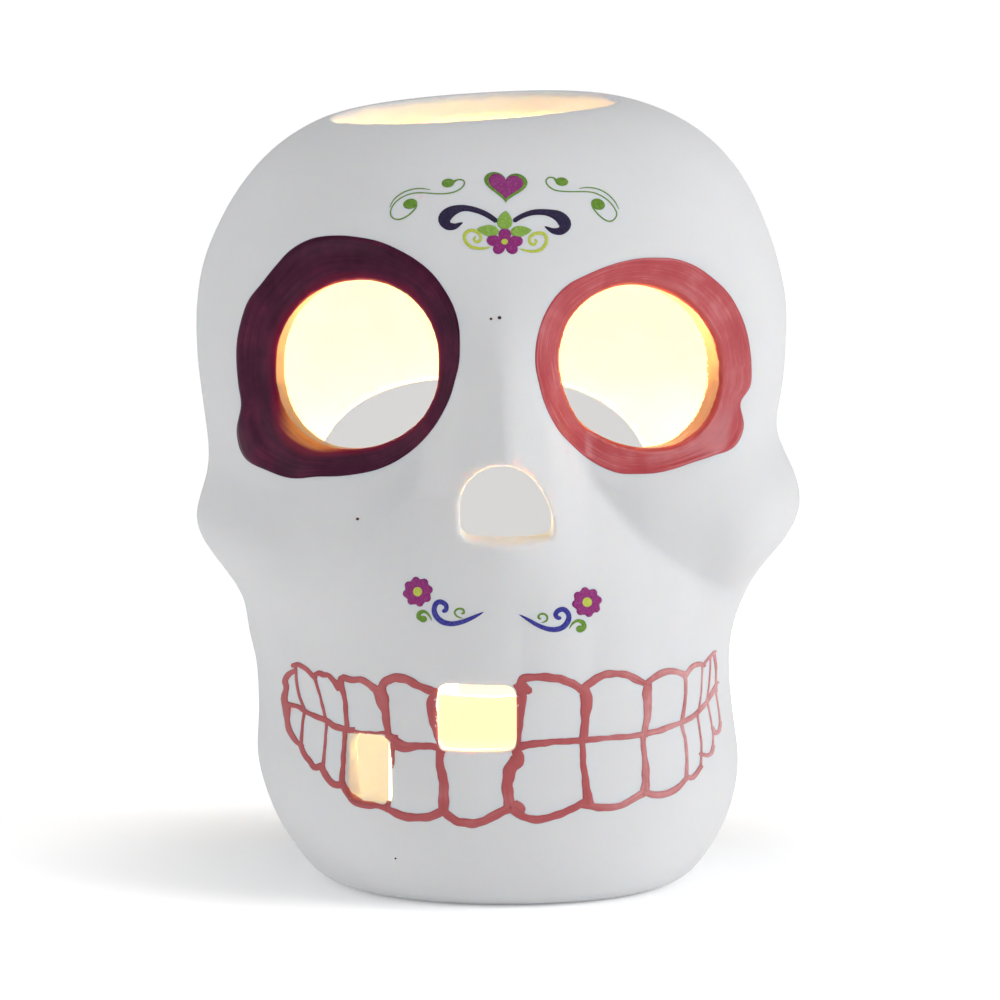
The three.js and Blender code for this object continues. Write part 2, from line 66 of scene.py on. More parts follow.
def smoothstep(value, start, end):
    share = clamp((value - start) / (end - start))
    return share * share * (3 - 2 * share)


def bell(offset, spread):
    return math.exp(-(offset / spread) ** 2)


# A crest or valley with a narrow rounded line and long straight flanks
def ridge(offset, spread, rounding=1.2):
    return math.exp((rounding - math.hypot(offset, rounding)) / spread)


# Nought for low values and the value itself for high ones, with a soft bend between
def softened(value):
    return value if value > 30 else math.log(1 + math.exp(value))


# A smooth curve past four values in a row, at a share t of the way from the second to the third
def curve(a, b, c, d, t):
    return 0.5 * (2 * b + (c - a) * t + (2 * a - 5 * b + 4 * c - d) * t * t
                  + (3 * b - a - 3 * c + d) * t ** 3)


# A smooth curve through points, each a tuple of numbers, at a share of the way along
def along(points, share):
    last = len(points) - 1
    run = clamp(share) * last
    i = min(int(run), last - 1)
    around = (points[max(i - 1, 0)], points[i], points[i + 1], points[min(i + 2, last)])
    return [curve(*values, run - i) for values in zip(*around)]


def newObject(name, bm):
    mesh = bpy.data.meshes.new(name)
    bm.to_mesh(mesh)
    bm.free()
    piece = bpy.data.objects.new(name, mesh)
    scene.collection.objects.link(piece)
    return piece


def settled(piece, name):
    graph = bpy.context.evaluated_depsgraph_get()
    mesh = bpy.data.meshes.new_from_object(piece.evaluated_get(graph))
    mesh.name = name
    result = bpy.data.objects.new(name, mesh)
    scene.collection.objects.link(result)
    return result


def discard(piece):
    mesh = piece.data
    bpy.data.objects.remove(piece)
    bpy.data.meshes.remove(mesh)


def shadeSmooth(piece):
    piece.data.polygons.foreach_set("use_smooth", [True] * len(piece.data.polygons))
    piece.data.update()


# A direction of length one: bearings run round from the front, elevations up from the table.
def pointing(bearing, climb):
    level = math.cos(climb)
    return Vector((math.sin(bearing) * level, -math.cos(bearing) * level, math.sin(climb)))


# Camera: a long lens, so the skull stays nearly free of perspective
view = {
    "target": (0.0005, 0, 0.0661), "distance": 1.9, "elevation": 8.3, "azimuth": -2, "frameWidth": 0.175,
    "sensor": 36,  # in millimetres, the lens too
}

elevation = math.radians(view["elevation"])
azimuth = math.radians(view["azimuth"])
target = Vector(view["target"])
towards = pointing(azimuth, elevation)
cameraData = bpy.data.cameras.new("camera")
cameraData.sensor_width = view["sensor"]
cameraData.lens = view["sensor"] * view["distance"] / view["frameWidth"]
cameraData.clip_end = 10
camera = bpy.data.objects.new("camera", cameraData)
camera.location = target + towards * view["distance"]
turn = (-towards).to_track_quat("-Z", "Y")
camera.rotation_euler = turn.to_euler()
scene.collection.objects.link(camera)
scene.camera = camera
viewRight = turn @ sideways
viewUp = turn @ backwards  # the second axis of a camera points up


# Skull form: reaches run out from the axis, heights run up from the table.
skull = {
    "wall": 4.5, "domeApex": 137.4, "domePower": 2.6, "domeRoot": 3, "crownTilt": 0.03,
    "craniumHeight": 92, "craniumHalfWidth": 51.4, "craniumFront": 50, "craniumBack": 59,
    "waistHeight": 38, "jawHeight": 23, "jawHalfWidth": 42.2, "jawFront": 45, "jawBack": 46,
    "chinDrop": 35, "sectionPower": 2.15, "footShift": 2, "footFillet": 2.5, "footRecess": 3.5,
    "footRingWidth": 6, "footCutFrom": -10, "floorThickness": 5.5, "reliefShare": 0.7,
    "outerCells": (240, 190), "innerCells": (180, 140),  # meridians and rings of the two forms
    "meridianCrowd": 0.42,  # how far the meridians crowd towards the face
    "uprightShare": 0.66,  # share of the rings below the widest height
    "grain": 0.5, "quickGrain": 1.0,  # edge of the cells that the cast surface is made of
    "softening": 8,  # passes that sponge the cut edges round
    "rubbing": 7,  # further passes on the edges alone, against nicks
    "edgeTurn": 0.992,  # cosine of the turn from which a place counts as an edge
    "faces": 190000,  # triangles left where the surface is plain
}
nose = {
    "top": 128, "tip": 74, "under": 40, "reach": 10.8, "swell": 1.6,
    "topWidth": 4, "baseWidth": 8.6, "flare": 0.7, "topRounding": 5.5, "tipRounding": 1.6,
    "bridge": 88, "bridgeTall": 12, "leftNarrow": 0.5,  # the bridge falls off sooner on that side
}
muzzle = {"height": 40, "reach": 2.5, "halfWidth": 24, "halfHeight": 15}
socket = {
    "dish": 3.2, "rim": 7, "share": 0.437, "bed": 0.62, "crest": 0.5, "crestAt": 1.12, "crestSpread": 0.2,
}
cheekSpread = 30
cheeks = [
    {"bearing": -66, "height": 63, "reach": 7.4, "rise": 9.5, "fall": 10.5},
    {"bearing": 66, "height": 66, "reach": 7.9, "rise": 9, "fall": 10},
]
hollow = {
    "depth": 6, "leftShare": 0.6, "cheekSide": 13, "noseSide": 8, "lean": 0.75, "softening": 0.35,
    "begins": (7, 15), "ends": (33, 46),  # how far out it sets in and dies away
    "path": [(13.4, 78.7), (17.7, 72.5), (24.6, 64.6), (33.2, 57.5), (41, 53.4)],
}
# grooves over the upper teeth
roots = {"grooves": (-9.4, 3.2, 15.7, 27), "depth": 0.5, "width": 2.2, "height": 46, "tall": 10}
crown = {
    "x": -3.4, "y": 2.4, "halfWidth": 24.6, "halfDepth": 22.6, "cutFrom": 114, "cutTo": 150,
    "level": 135.42, "rise": 0.068, "fall": 0.0135, "rounding": 0.5,  # the plane that ends the dome
}
eyes = [
    {"x": -26.65, "height": 95.4, "width": 32, "tall": 29.4, "yaw": -33, "skew": 0.06, "power": 2.1,
     "socketX": -27.55},
    {"x": 22.5, "height": 94.9, "width": 32.2, "tall": 28.6, "yaw": 40, "skew": -0.09, "power": 1.95,
     "socketX": 25.3},
]
noseHole = {
    "x": 0.3, "height": 66.8, "width": 15.8, "tall": 13.5, "slope": 5, "front": 57,
    "left": {"upright": 0.42, "power": 1.85}, "right": {"upright": 0.2, "power": 1.6},
}
rearHole = {
    "x": -0.8, "height": 57, "halfWidth": 31, "halfHeight": 23.4, "power": 2.8,
    "cutFrom": 15, "cutTo": 90,
}
toothGaps = [
    {"bearing": -5.7, "height": 35.2, "width": 13.6, "tall": 11.8},
    {"bearing": -30.9, "height": 25.2, "width": 8.9, "tall": 11.8},
]
faceCut = {"from": 20, "fromTeeth": 22, "to": 80}  # how far from the axis the holes of the face are cut
squareness = 8  # power of an outline with nearly square corners


def reachAt(height, jaw, cranium, inset):
    reach = lerp(jaw, cranium, smoothstep(height, skull["waistHeight"], skull["craniumHeight"])) - inset
    if height > skull["craniumHeight"]:
        room = skull["domeApex"] - inset - skull["craniumHeight"]
        climb = min((height - skull["craniumHeight"]) / room, 1)
        reach *= (1 - climb ** skull["domePower"]) ** (1 / skull["domeRoot"])
    if height < skull["jawHeight"]:
        reach *= math.sqrt(1 - ((skull["jawHeight"] - height) / skull["chinDrop"]) ** 2)
    fillet = skull["footFillet"]
    if height < fillet:
        reach -= fillet - math.sqrt(fillet ** 2 - (fillet - height) ** 2)
    return reach


def noseRelief(x, height):
    down = clamp((nose["top"] - height) / (nose["top"] - nose["tip"]))
    below = max(nose["tip"] - height, 0)
    fade = smoothstep(height, nose["tip"] - nose["under"], nose["tip"])
    width = lerp(nose["topWidth"], nose["baseWidth"], down) + nose["flare"] * below
    if x < 0:
        width *= 1 - nose["leftNarrow"] * bell(height - nose["bridge"], nose["bridgeTall"])
    rounding = lerp(nose["topRounding"], nose["tipRounding"], down) + 0.5 * below
    return nose["reach"] * down ** nose["swell"] * fade * ridge(x, width, rounding)


def socketRelief(x, height):
    relief = 0
    for eye in eyes:
        across = (x - eye["socketX"]) / (eye["width"] * socket["share"] + socket["rim"])
        up = (height - eye["height"]) / (eye["tall"] / 2 + socket["rim"])
        away = math.hypot(across, up)
        relief -= socket["dish"] * (1 - smoothstep(away, socket["bed"], 1))
        relief += socket["crest"] * bell(away - socket["crestAt"], socket["crestSpread"])
    return relief


# The valley from the inner corner of the eye down under the cheekbone: steep on the cheek's side
def hollowRelief(x, height):
    reach = abs(x)
    valley = hollow["path"]
    i = 0
    while i < len(valley) - 2 and reach > valley[i + 1][0]:
        i += 1
    (startX, startHeight), (endX, endHeight) = valley[i], valley[i + 1]
    line = lerp(startHeight, endHeight, (reach - startX) / (endX - startX))
    away = (height - line) * hollow["lean"]
    fade = smoothstep(reach, *hollow["begins"]) * (1 - smoothstep(reach, *hollow["ends"]))
    share = 1 if x > 0 else hollow["leftShare"]
    if away < 0:
        return -hollow["depth"] * share * fade * ridge(away, hollow["noseSide"], 1)
    climb = away / hollow["cheekSide"]
    rest = 1 - climb + hollow["softening"] * softened((climb - 1) / hollow["softening"])
    return -hollow["depth"] * share * fade * rest


def rootRelief(x, height):
    grooves = sum(ridge(x - groove, roots["width"], 0.5) for groove in roots["grooves"])
    return -roots["depth"] * grooves * bell(height - roots["height"], roots["tall"])


def faceRelief(x, height):
    mouth = bell(x, muzzle["halfWidth"]) * bell(height - muzzle["height"], muzzle["halfHeight"])
    relief = noseRelief(x, height) + socketRelief(x, height) + hollowRelief(x, height)
    return relief + rootRelief(x, height) + muzzle["reach"] * mouth


def cheekRelief(bearing, height):
    relief = 0
    for cheek in cheeks:
        side = bell(bearing - math.radians(cheek["bearing"]), math.radians(cheekSpread))
        spread = cheek["rise"] if height > cheek["height"] else cheek["fall"]
        relief += cheek["reach"] * side * bell(height - cheek["height"], spread)
    return relief


# The casting was fettled by hand: how far its left and right sides stand out, from the lowest height up
trims = {"lowest": 8, "highest": 130, "sides": [
    (0.1, -0.5), (0.07, -0.27), (0.05, -0.23), (-0.7, -0.7), (-0.67, -1.05), (0.3, -0.9),
    (-0.35, -0.1), (-0.6, -0.1), (0.2, -0.45), (-0.2, 0.1), (-0.1, -1.35), (0.06, -0.87),
    (0.48, -0.52), (0.68, -0.2), (0.49, -0.74), (-0.17, -1.25), (-0.5, -1.32), (-0.3, -1.3),
]}


def trimAt(height, across):
    left, right = along(trims["sides"], (height - trims["lowest"]) / (trims["highest"] - trims["lowest"]))
    return (right if across > 0 else left) * across * abs(across)


def driftAt(height):
    return skull["footShift"] * (1 - smoothstep(height, 0, skull["waistHeight"]))


def skullPoint(bearing, height, inset, share):
    across = math.sin(bearing)
    ahead = math.cos(bearing)
    power = skull["sectionPower"]
    size = (abs(across) ** power + abs(ahead) ** power) ** (-1 / power)
    halfWidth = reachAt(height, skull["jawHalfWidth"], skull["craniumHalfWidth"], inset)
    front = reachAt(height, skull["jawFront"], skull["craniumFront"], inset)
    back = reachAt(height, skull["jawBack"], skull["craniumBack"], inset)
    cheek = share * cheekRelief(bearing, height)
    x = halfWidth * size * across + cheek * across + trimAt(height, across)
    depth = front if ahead > 0 else back
    facing = smoothstep(ahead, 0.05, 0.5)
    relief = share * facing * faceRelief(x, height)
    y = -depth * size * ahead - cheek * ahead - relief
    tilt = skull["crownTilt"] * x * smoothstep(height, skull["craniumHeight"], skull["domeApex"])
    level = crown["level"] - inset + crown["rise"] * x - crown["fall"] * y
    flat = crown["rounding"] * softened((height + tilt - level) / crown["rounding"])
    return Vector((x + driftAt(height), y, height + tilt - flat))


# A sphere whose rings are pushed out to the skull; its meridians crowd towards the face.
def skullBody(name, bottom, inset, share, meridians, rings):
    bm = bmesh.new()
    bmesh.ops.create_uvsphere(bm, u_segments=meridians, v_segments=rings, radius=1)
    apex = skull["domeApex"] - inset
    upright = skull["uprightShare"]
    for vert in bm.verts:
        climb = math.acos(clamp(-vert.co.z, -1, 1)) / math.pi * rings
        step = round(climb)
        if step == 0 or step == rings:
            height = bottom if step == 0 else apex
            vert.co = Vector((driftAt(height), 0, height))
            continue
        level = (step - 1) / (rings - 1.5)
        if level < upright:
            height = lerp(bottom, skull["craniumHeight"], level / upright)
        else:
            rise = math.sin(math.pi / 2 * (level - upright) / (1 - upright))
            height = lerp(skull["craniumHeight"], apex, min(rise, 0.9995))  # just short of the pole
        swing = math.atan2(vert.co.x, -vert.co.y)
        bearing = swing - skull["meridianCrowd"] * math.sin(swing)
        vert.co = skullPoint(bearing, height, inset, share)
    bmesh.ops.scale(bm, vec=(mm, mm, mm), verts=bm.verts)
    bmesh.ops.translate(bm, vec=axis, verts=bm.verts)
    bmesh.ops.recalc_face_normals(bm, faces=bm.faces)
    return newObject(name, bm)


def superellipse(turn, halfWidth, halfHeight, power):
    c = math.cos(turn)
    s = math.sin(turn)
    size = (abs(c) ** power + abs(s) ** power) ** (-1 / power)
    return halfWidth * size * c, halfHeight * size * s


# A tool that cuts along a direction: its outline gives across and up for each turn.
def cuttingTool(name, outline, across, up, heading, start, near, far, corners=96):
    bm = bmesh.new()
    bmesh.ops.create_circle(bm, cap_ends=True, segments=corners, radius=1)
    for vert in bm.verts:
        u, v = outline(math.atan2(vert.co.y, vert.co.x))
        vert.co = start + across * u + up * v + heading * near
    swept = bmesh.ops.extrude_face_region(bm, geom=bm.faces[:])
    moved = [item for item in swept["geom"] if isinstance(item, bmesh.types.BMVert)]
    bmesh.ops.translate(bm, vec=heading * (far - near), verts=moved)
    bmesh.ops.scale(bm, vec=(mm, mm, mm), verts=bm.verts)
    bmesh.ops.translate(bm, vec=axis, verts=bm.verts)
    bmesh.ops.recalc_face_normals(bm, faces=bm.faces)
    return newObject(name, bm)


def outwardTool(name, outline, bearing, shift, height, near, far):
    turn = math.radians(bearing)
    across = Vector((math.cos(turn), math.sin(turn), 0))
    start = Vector((shift, 0, height))
    return cuttingTool(name, outline, across, upwards, pointing(turn, 0), start, near, far)


# Hand-cut holes: each is a little askew
def eyeOutline(eye, turn):
    u, v = superellipse(turn, eye["width"] / 2, eye["tall"] / 2, eye["power"])
    return u + eye["skew"] * v, v + eye["skew"] * u


def noseArch(turn):
    half = noseHole["width"] / 2
    side = noseHole["right" if math.cos(turn) > 0 else "left"]
    middle = noseHole["tall"] * side["upright"]
    if math.sin(turn) < 0:
        u, v = superellipse(turn, half, middle, squareness)
    else:
        u, v = superellipse(turn, half, noseHole["tall"] - middle, side["power"])
    return u, v + middle


# The places where the surface turns sharply: they keep all their cells.
def bentPlaces(piece, least):
    bm = bmesh.new()
    bm.from_mesh(piece.data)
    bent = [vert.index for vert in bm.verts
            if min(vert.normal.dot(face.normal) for face in vert.link_faces) < least]
    bm.free()
    return bent


def makeSkull():
    floorTop = skull["footRecess"] + skull["floorThickness"]
    outer = skullBody("outerForm", 0, 0, 1, *skull["outerCells"])
    inner = skullBody("innerForm", floorTop, skull["wall"], skull["reliefShare"], *skull["innerCells"])
    tools = [inner]
    tools.append(cuttingTool(
        "crownTool", lambda turn: superellipse(turn, crown["halfWidth"], crown["halfDepth"], 2),
        sideways, backwards, upwards, Vector((crown["x"], crown["y"], 0)),
        crown["cutFrom"], crown["cutTo"]))
    footWidth = reachAt(0, skull["jawHalfWidth"], skull["craniumHalfWidth"], 0) - skull["footRingWidth"]
    footFront = reachAt(0, skull["jawFront"], skull["craniumFront"], 0) - skull["footRingWidth"]
    tools.append(cuttingTool(
        "footTool", lambda turn: superellipse(turn, footWidth, footFront, skull["sectionPower"]),
        sideways, backwards, upwards, Vector((skull["footShift"], 0, 0)),
        skull["footCutFrom"], skull["footRecess"]))
    for eye in eyes:
        shift = eye["x"] - skull["craniumFront"] * math.sin(math.radians(eye["yaw"]))
        tools.append(outwardTool(
            "eyeTool", lambda turn, eye=eye: eyeOutline(eye, turn),
            eye["yaw"], shift, eye["height"], faceCut["from"], faceCut["to"]))
    slope = math.radians(noseHole["slope"])
    start = Vector((noseHole["x"], 0, noseHole["height"] + noseHole["front"] * math.tan(slope)))
    inAndDown = Vector((0, -math.cos(slope), -math.sin(slope)))
    tools.append(cuttingTool(
        "noseTool", noseArch, sideways, upwards, inAndDown, start, faceCut["from"], faceCut["to"]))
    for gap in toothGaps:
        tools.append(outwardTool(
            "toothTool",
            lambda turn, gap=gap: superellipse(turn, gap["width"] / 2, gap["tall"] / 2, squareness),
            gap["bearing"], 0, gap["height"], faceCut["fromTeeth"], faceCut["to"]))
    tools.append(outwardTool(
        "rearTool",
        lambda turn: superellipse(turn, rearHole["halfWidth"], rearHole["halfHeight"], rearHole["power"]),
        180, rearHole["x"], rearHole["height"], rearHole["cutFrom"], rearHole["cutTo"]))
    for tool in tools:
        cut = outer.modifiers.new(tool.name, "BOOLEAN")
        cut.operation = "DIFFERENCE"
        cut.solver = "MANIFOLD"
        cut.object = tool
    remesh = outer.modifiers.new("grain", "REMESH")
    remesh.mode = "VOXEL"
    remesh.voxel_size = skull["grain"] * mm
    sponge = outer.modifiers.new("sponge", "SMOOTH")
    sponge.factor = 0.5
    sponge.iterations = skull["softening"]
    shell = settled(outer, "skull_casting")
    shell.vertex_groups.new(name="cut_edges").add(bentPlaces(shell, skull["edgeTurn"]), 1, "REPLACE")
    rubbed = shell.modifiers.new("rubbed", "SMOOTH")
    rubbed.factor = 0.5
    rubbed.iterations = skull["rubbing"]
    rubbed.vertex_group = "cut_edges"
    thinned = shell.modifiers.new("thinned", "DECIMATE")
    thinned.ratio = min(skull["faces"] / (2 * len(shell.data.polygons)), 1)
    thinned.vertex_group = "cut_edges"
    thinned.invert_vertex_group = True
    dense = shell
    shell = settled(dense, "skull_casting")
    discard(dense)
    shell.name = "skull_casting"
    for tool in tools:
        discard(tool)
    discard(outer)
    shadeSmooth(shell)
    return shell


skullCasting = makeSkull()
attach(skullCasting, "skull")
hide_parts("skull_shell")
print("skull casting:", len(skullCasting.data.polygons), "faces")


# Paint: strokes are given in thousandths of the picture's width and laid on the skull along the view.
skullMesh = bmesh.new()
skullMesh.from_mesh(skullCasting.data)
skullTree = BVHTree.FromBMesh(skullMesh)
skullMesh.free()
pictureUnit = view["frameWidth"] / 1000
pictureMiddle = 499.5  # counted from the first pixel
faceDepth = -0.01  # anything further back is seen through a hole


def onSkull(across, down):
    right = viewRight * (across - pictureMiddle) * pictureUnit
    aim = right + viewUp * (pictureMiddle - down) * pictureUnit - towards * view["distance"]
    place, normal, _, _ = skullTree.ray_cast(camera.location, aim.normalized())
    if place is None or place.y > faceDepth:
        return None, None
    return place, normal


film = {"sunk": 0.1 * mm, "thick": 0.09 * mm}


# Lays a grid on the skull: spot(u, v) gives a point and its normal, height(u, v) the share of the film.
def layFilm(bm, lengthwise, crosswise, spot, height, length, width):
    up = bm.verts.layers.float_vector.get("up") or bm.verts.layers.float_vector.new("up")
    lift = bm.verts.layers.float.get("lift") or bm.verts.layers.float.new("lift")
    strokeMap = bm.loops.layers.uv.get("stroke") or bm.loops.layers.uv.new("stroke")
    verts = bmesh.ops.create_grid(bm, x_segments=lengthwise, y_segments=crosswise, size=1)["verts"]
    shares = {}
    lost = []
    for vert in verts:
        u = (vert.co.x + 1) / 2
        v = (vert.co.y + 1) / 2
        shares[vert] = (u, v)
        point, normal = spot(u, v)
        if point is None:
            lost.append(vert)
            continue
        vert.co = point - normal * film["sunk"]
        vert[up] = normal
        vert[lift] = film["sunk"] + film["thick"] * height(u, v)
    faces = {face for vert in verts for face in vert.link_faces}
    for face in faces:
        for loop in face.loops:
            u, v = shares[loop.vert]
            loop[strokeMap].uv = (u * length, v * width)
    if lost:
        bmesh.ops.delete(bm, geom=lost, context="VERTS")


def closeFilm(name, bm):
    bmesh.ops.remove_doubles(bm, verts=bm.verts, dist=0.004 * mm)
    up = bm.verts.layers.float_vector["up"]
    lift = bm.verts.layers.float["lift"]
    raised = bmesh.ops.extrude_face_region(bm, geom=bm.faces[:])
    for item in raised["geom"]:
        if isinstance(item, bmesh.types.BMVert):
            item.co += item[up] * item[lift]
    bmesh.ops.recalc_face_normals(bm, faces=bm.faces)
    piece = newObject(name, bm)
    shadeSmooth(piece)
    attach(piece, "skull")
    return piece


brush = {
    "full": 1.22, "thin": 1.12,  # how far the hairs spread on the near and on the far side of the mouth
    "thinFrom": 560, "thinTo": 680, "leastWidth": 0.6,
    "flare": 0.4, "flareReach": 7,  # paint pools where strokes meet
    "waver": 0.16, "waverLength": 9, "waverApart": 40, "overrun": 2.6,
    "step": 2.2, "look": 0.02,  # how close the cells are, and how far the heading is read from
    "mapWidth": 6,  # width that the bristle lines are spread over
}


# The place a little past the end of a stroke, so that strokes run into each other
def onward(before, end):
    run = math.dist(before[:2], end[:2])
    share = 1 + brush["overrun"] / run
    return lerp(before[0], end[0], share), lerp(before[1], end[1], share), end[2]


# The brush stopped at the edges of the missing teeth: left, right, and the top and bottom at either side
gapEdges = [
    {"left": 437, "right": 516.5, "top": (683.5, 684), "bottom": (752, 752)},
    {"left": 348, "right": 387, "top": (735, 740), "bottom": (791.5, 806.5)},
]


def besideGaps(across, down):
    for gap in gapEdges:
        share = (across - gap["left"]) / (gap["right"] - gap["left"])
        top = lerp(*gap["top"], clamp(share))
        tall = lerp(*gap["bottom"], clamp(share)) - top
        u = 2 * share - 1
        v = 2 * (down - top) / tall - 1
        reach = max((abs(u) ** squareness + abs(v) ** squareness) ** (1 / squareness), 0.05)
        if reach < 1:
            across = lerp(gap["left"], gap["right"], (u / reach + 1) / 2)
            down = top + tall * (v / reach + 1) / 2
    return across, down


# A brush stroke: each point is across, down and width; the ends are rounded.
def layStroke(bm, points, blunt=0.8, pooled=True):
    if pooled:
        points = [onward(points[1], points[0]), *points, onward(points[-2], points[-1])]
    length = sum(math.dist(p[:2], q[:2]) for p, q in zip(points, points[1:]))
    count = max(int(length / brush["step"]), 5)

    def place(u, v):
        x, y, width = along(points, u)
        ahead = along(points, min(u + brush["look"], 1))
        behind = along(points, max(u - brush["look"], 0))
        dx = ahead[0] - behind[0]
        dy = ahead[1] - behind[1]
        size = math.hypot(dx, dy) or 1
        reach = max(width, brush["leastWidth"])
        fromEnd = min(u, 1 - u) * length
        if pooled:
            thinned = smoothstep(x, brush["thinFrom"], brush["thinTo"])
            reach *= lerp(brush["full"], brush["thin"], thinned)
            reach *= 1 + brush["flare"] * bell(fromEnd, brush["flareReach"])
            side = brush["waverApart"] if v > 0.5 else 0  # each edge of the stroke wavers by itself
            waver = noise.noise(Vector((x, y + side, 0)) / brush["waverLength"])
            reach *= 1 + brush["waver"] * waver * 2
        narrow = math.sqrt(clamp(1 - (1 - clamp(fromEnd / (reach * blunt))) ** 2, 0.02, 1))
        offset = (v - 0.5) * reach * narrow
        return x - dy / size * offset, y + dx / size * offset

    def height(u, v):
        return 0.15 + 0.85 * math.sqrt(clamp(1 - (2 * v - 1) ** 2))

    layFilm(bm, count, 5, lambda u, v: onSkull(*besideGaps(*place(u, v))), height,
            length * pictureUnit, brush["mapWidth"] * pictureUnit)


# A filled shape drawn round a centre: outline(turn) gives the offset from it.
def layPatch(bm, centre, outline, corners, circles, share=1.0):
    def place(u, v):
        x, y = outline(2 * math.pi * u)
        return centre[0] + x * v, centre[1] + y * v

    def height(u, v):
        return share * (0.2 + 0.8 * math.sqrt(clamp(1 - v ** 4)))

    layFilm(bm, corners, circles, lambda u, v: onSkull(*place(u, v)), height,
            20 * pictureUnit, 10 * pictureUnit)


# Eye rings: the brush ran from the cut edge out to a wavering line; its reach is given every 10 degrees.
rings = [
    {"name": "eye_ring_left", "eye": eyes[0], "centre": (357, 363), "hole": 82, "reach": [
        101.5, 104, 108, 111.5, 114, 117, 119, 121, 124, 126.5, 130, 133,
        132, 127.5, 125, 126, 124, 122.5, 121, 121, 124, 139.5, 147, 140,
        132.5, 120.5, 114.5, 110.5, 108, 105.5, 103, 101, 99.5, 98.5, 98.5, 99]},
    {"name": "eye_ring_right", "eye": eyes[1], "centre": (638, 366), "hole": 79, "reach": [
        113, 113, 114, 115, 116, 115.5, 115.5, 114, 110.5, 108, 106, 105,
        105.5, 108, 108.5, 107.5, 106, 104.5, 103, 101, 101, 101.5, 102.5, 103,
        105, 107, 108.5, 107.5, 108, 108.5, 110.5, 116.5, 125, 121.5, 108.5, 113.5]},
]
# A thin wash of the paint ran over the cut edge and down the wall of the hole; its colour is painted warm
# light from inside.
ringEdge = {
    "turned": 0.3, "glowWash": 3.8 * mm, "lap": 0.3 * mm, "share": 0.25, "width": 6 * mm, "length": 0.1,
    "search": 0.85, "step": 0.4,  # the cut edge is looked for from a share of the hole, step by step
    "spokes": 200, "circles": 24,
}


def ringReach(reach, turn):
    run = turn / (2 * math.pi) * len(reach) % len(reach)
    i = int(run)
    around = [reach[(i + step) % len(reach)] for step in (-1, 0, 1, 2)]
    return curve(*around, run - i)


def makeRing(ring):
    bm = bmesh.new()
    eye = ring["eye"]
    yaw = math.radians(eye["yaw"])
    outwards = pointing(yaw, 0)
    middle = axis + Vector((eye["x"] - skull["craniumFront"] * math.sin(yaw), 0, eye["height"])) * mm
    edges = {}

    # the first spot from a reach outwards whose surface has turned outwards by a share
    def spotAt(turn, reach, turned=-1):
        while True:
            point, normal = onSkull(ring["centre"][0] + reach * math.cos(turn),
                                    ring["centre"][1] - reach * math.sin(turn))
            if point is not None and normal.dot(outwards) >= turned:
                return point, normal, reach
            reach += ringEdge["step"]

    def edgeAt(u):
        share = round(u % 1, 6)
        if share not in edges:
            inside = ringEdge["search"] * ring["hole"]
            edges[share] = spotAt(2 * math.pi * share, inside, ringEdge["turned"])[2]
        return edges[share]

    def spot(u, v):
        turn = 2 * math.pi * u
        start = sum(edgeAt(u + step / ringEdge["spokes"]) for step in (-2, -1, 0, 1, 2)) / 5
        if v > ringEdge["share"] - 0.001:
            share = (v - ringEdge["share"]) / (1 - ringEdge["share"])
            return spotAt(turn, lerp(start, ringReach(ring["reach"], turn), share))[:2]
        point = spotAt(turn, start)[0]
        out = point - middle
        out = (out - outwards * out.dot(outwards)).normalized()
        deep = ringEdge["glowWash"] * (1 - v / ringEdge["share"]) ** 2
        point, normal, _, _ = skullTree.find_nearest(point - out * ringEdge["lap"] - outwards * deep)
        return point, normal

    def height(u, v):
        thin = 0.5 + 0.5 * smoothstep(v, 0, ringEdge["share"])
        beads = 1.4 * bell(v - ringEdge["share"], 0.12) + 0.5 * bell(v - 0.93, 0.04)
        return thin * (1 - 0.8 * smoothstep(v, 0.95, 1)) + beads

    layFilm(bm, ringEdge["spokes"], ringEdge["circles"], spot, height,
            ringEdge["length"], ringEdge["width"])
    return closeFilm(ring["name"], bm)


eyeRings = [makeRing(ring) for ring in rings]

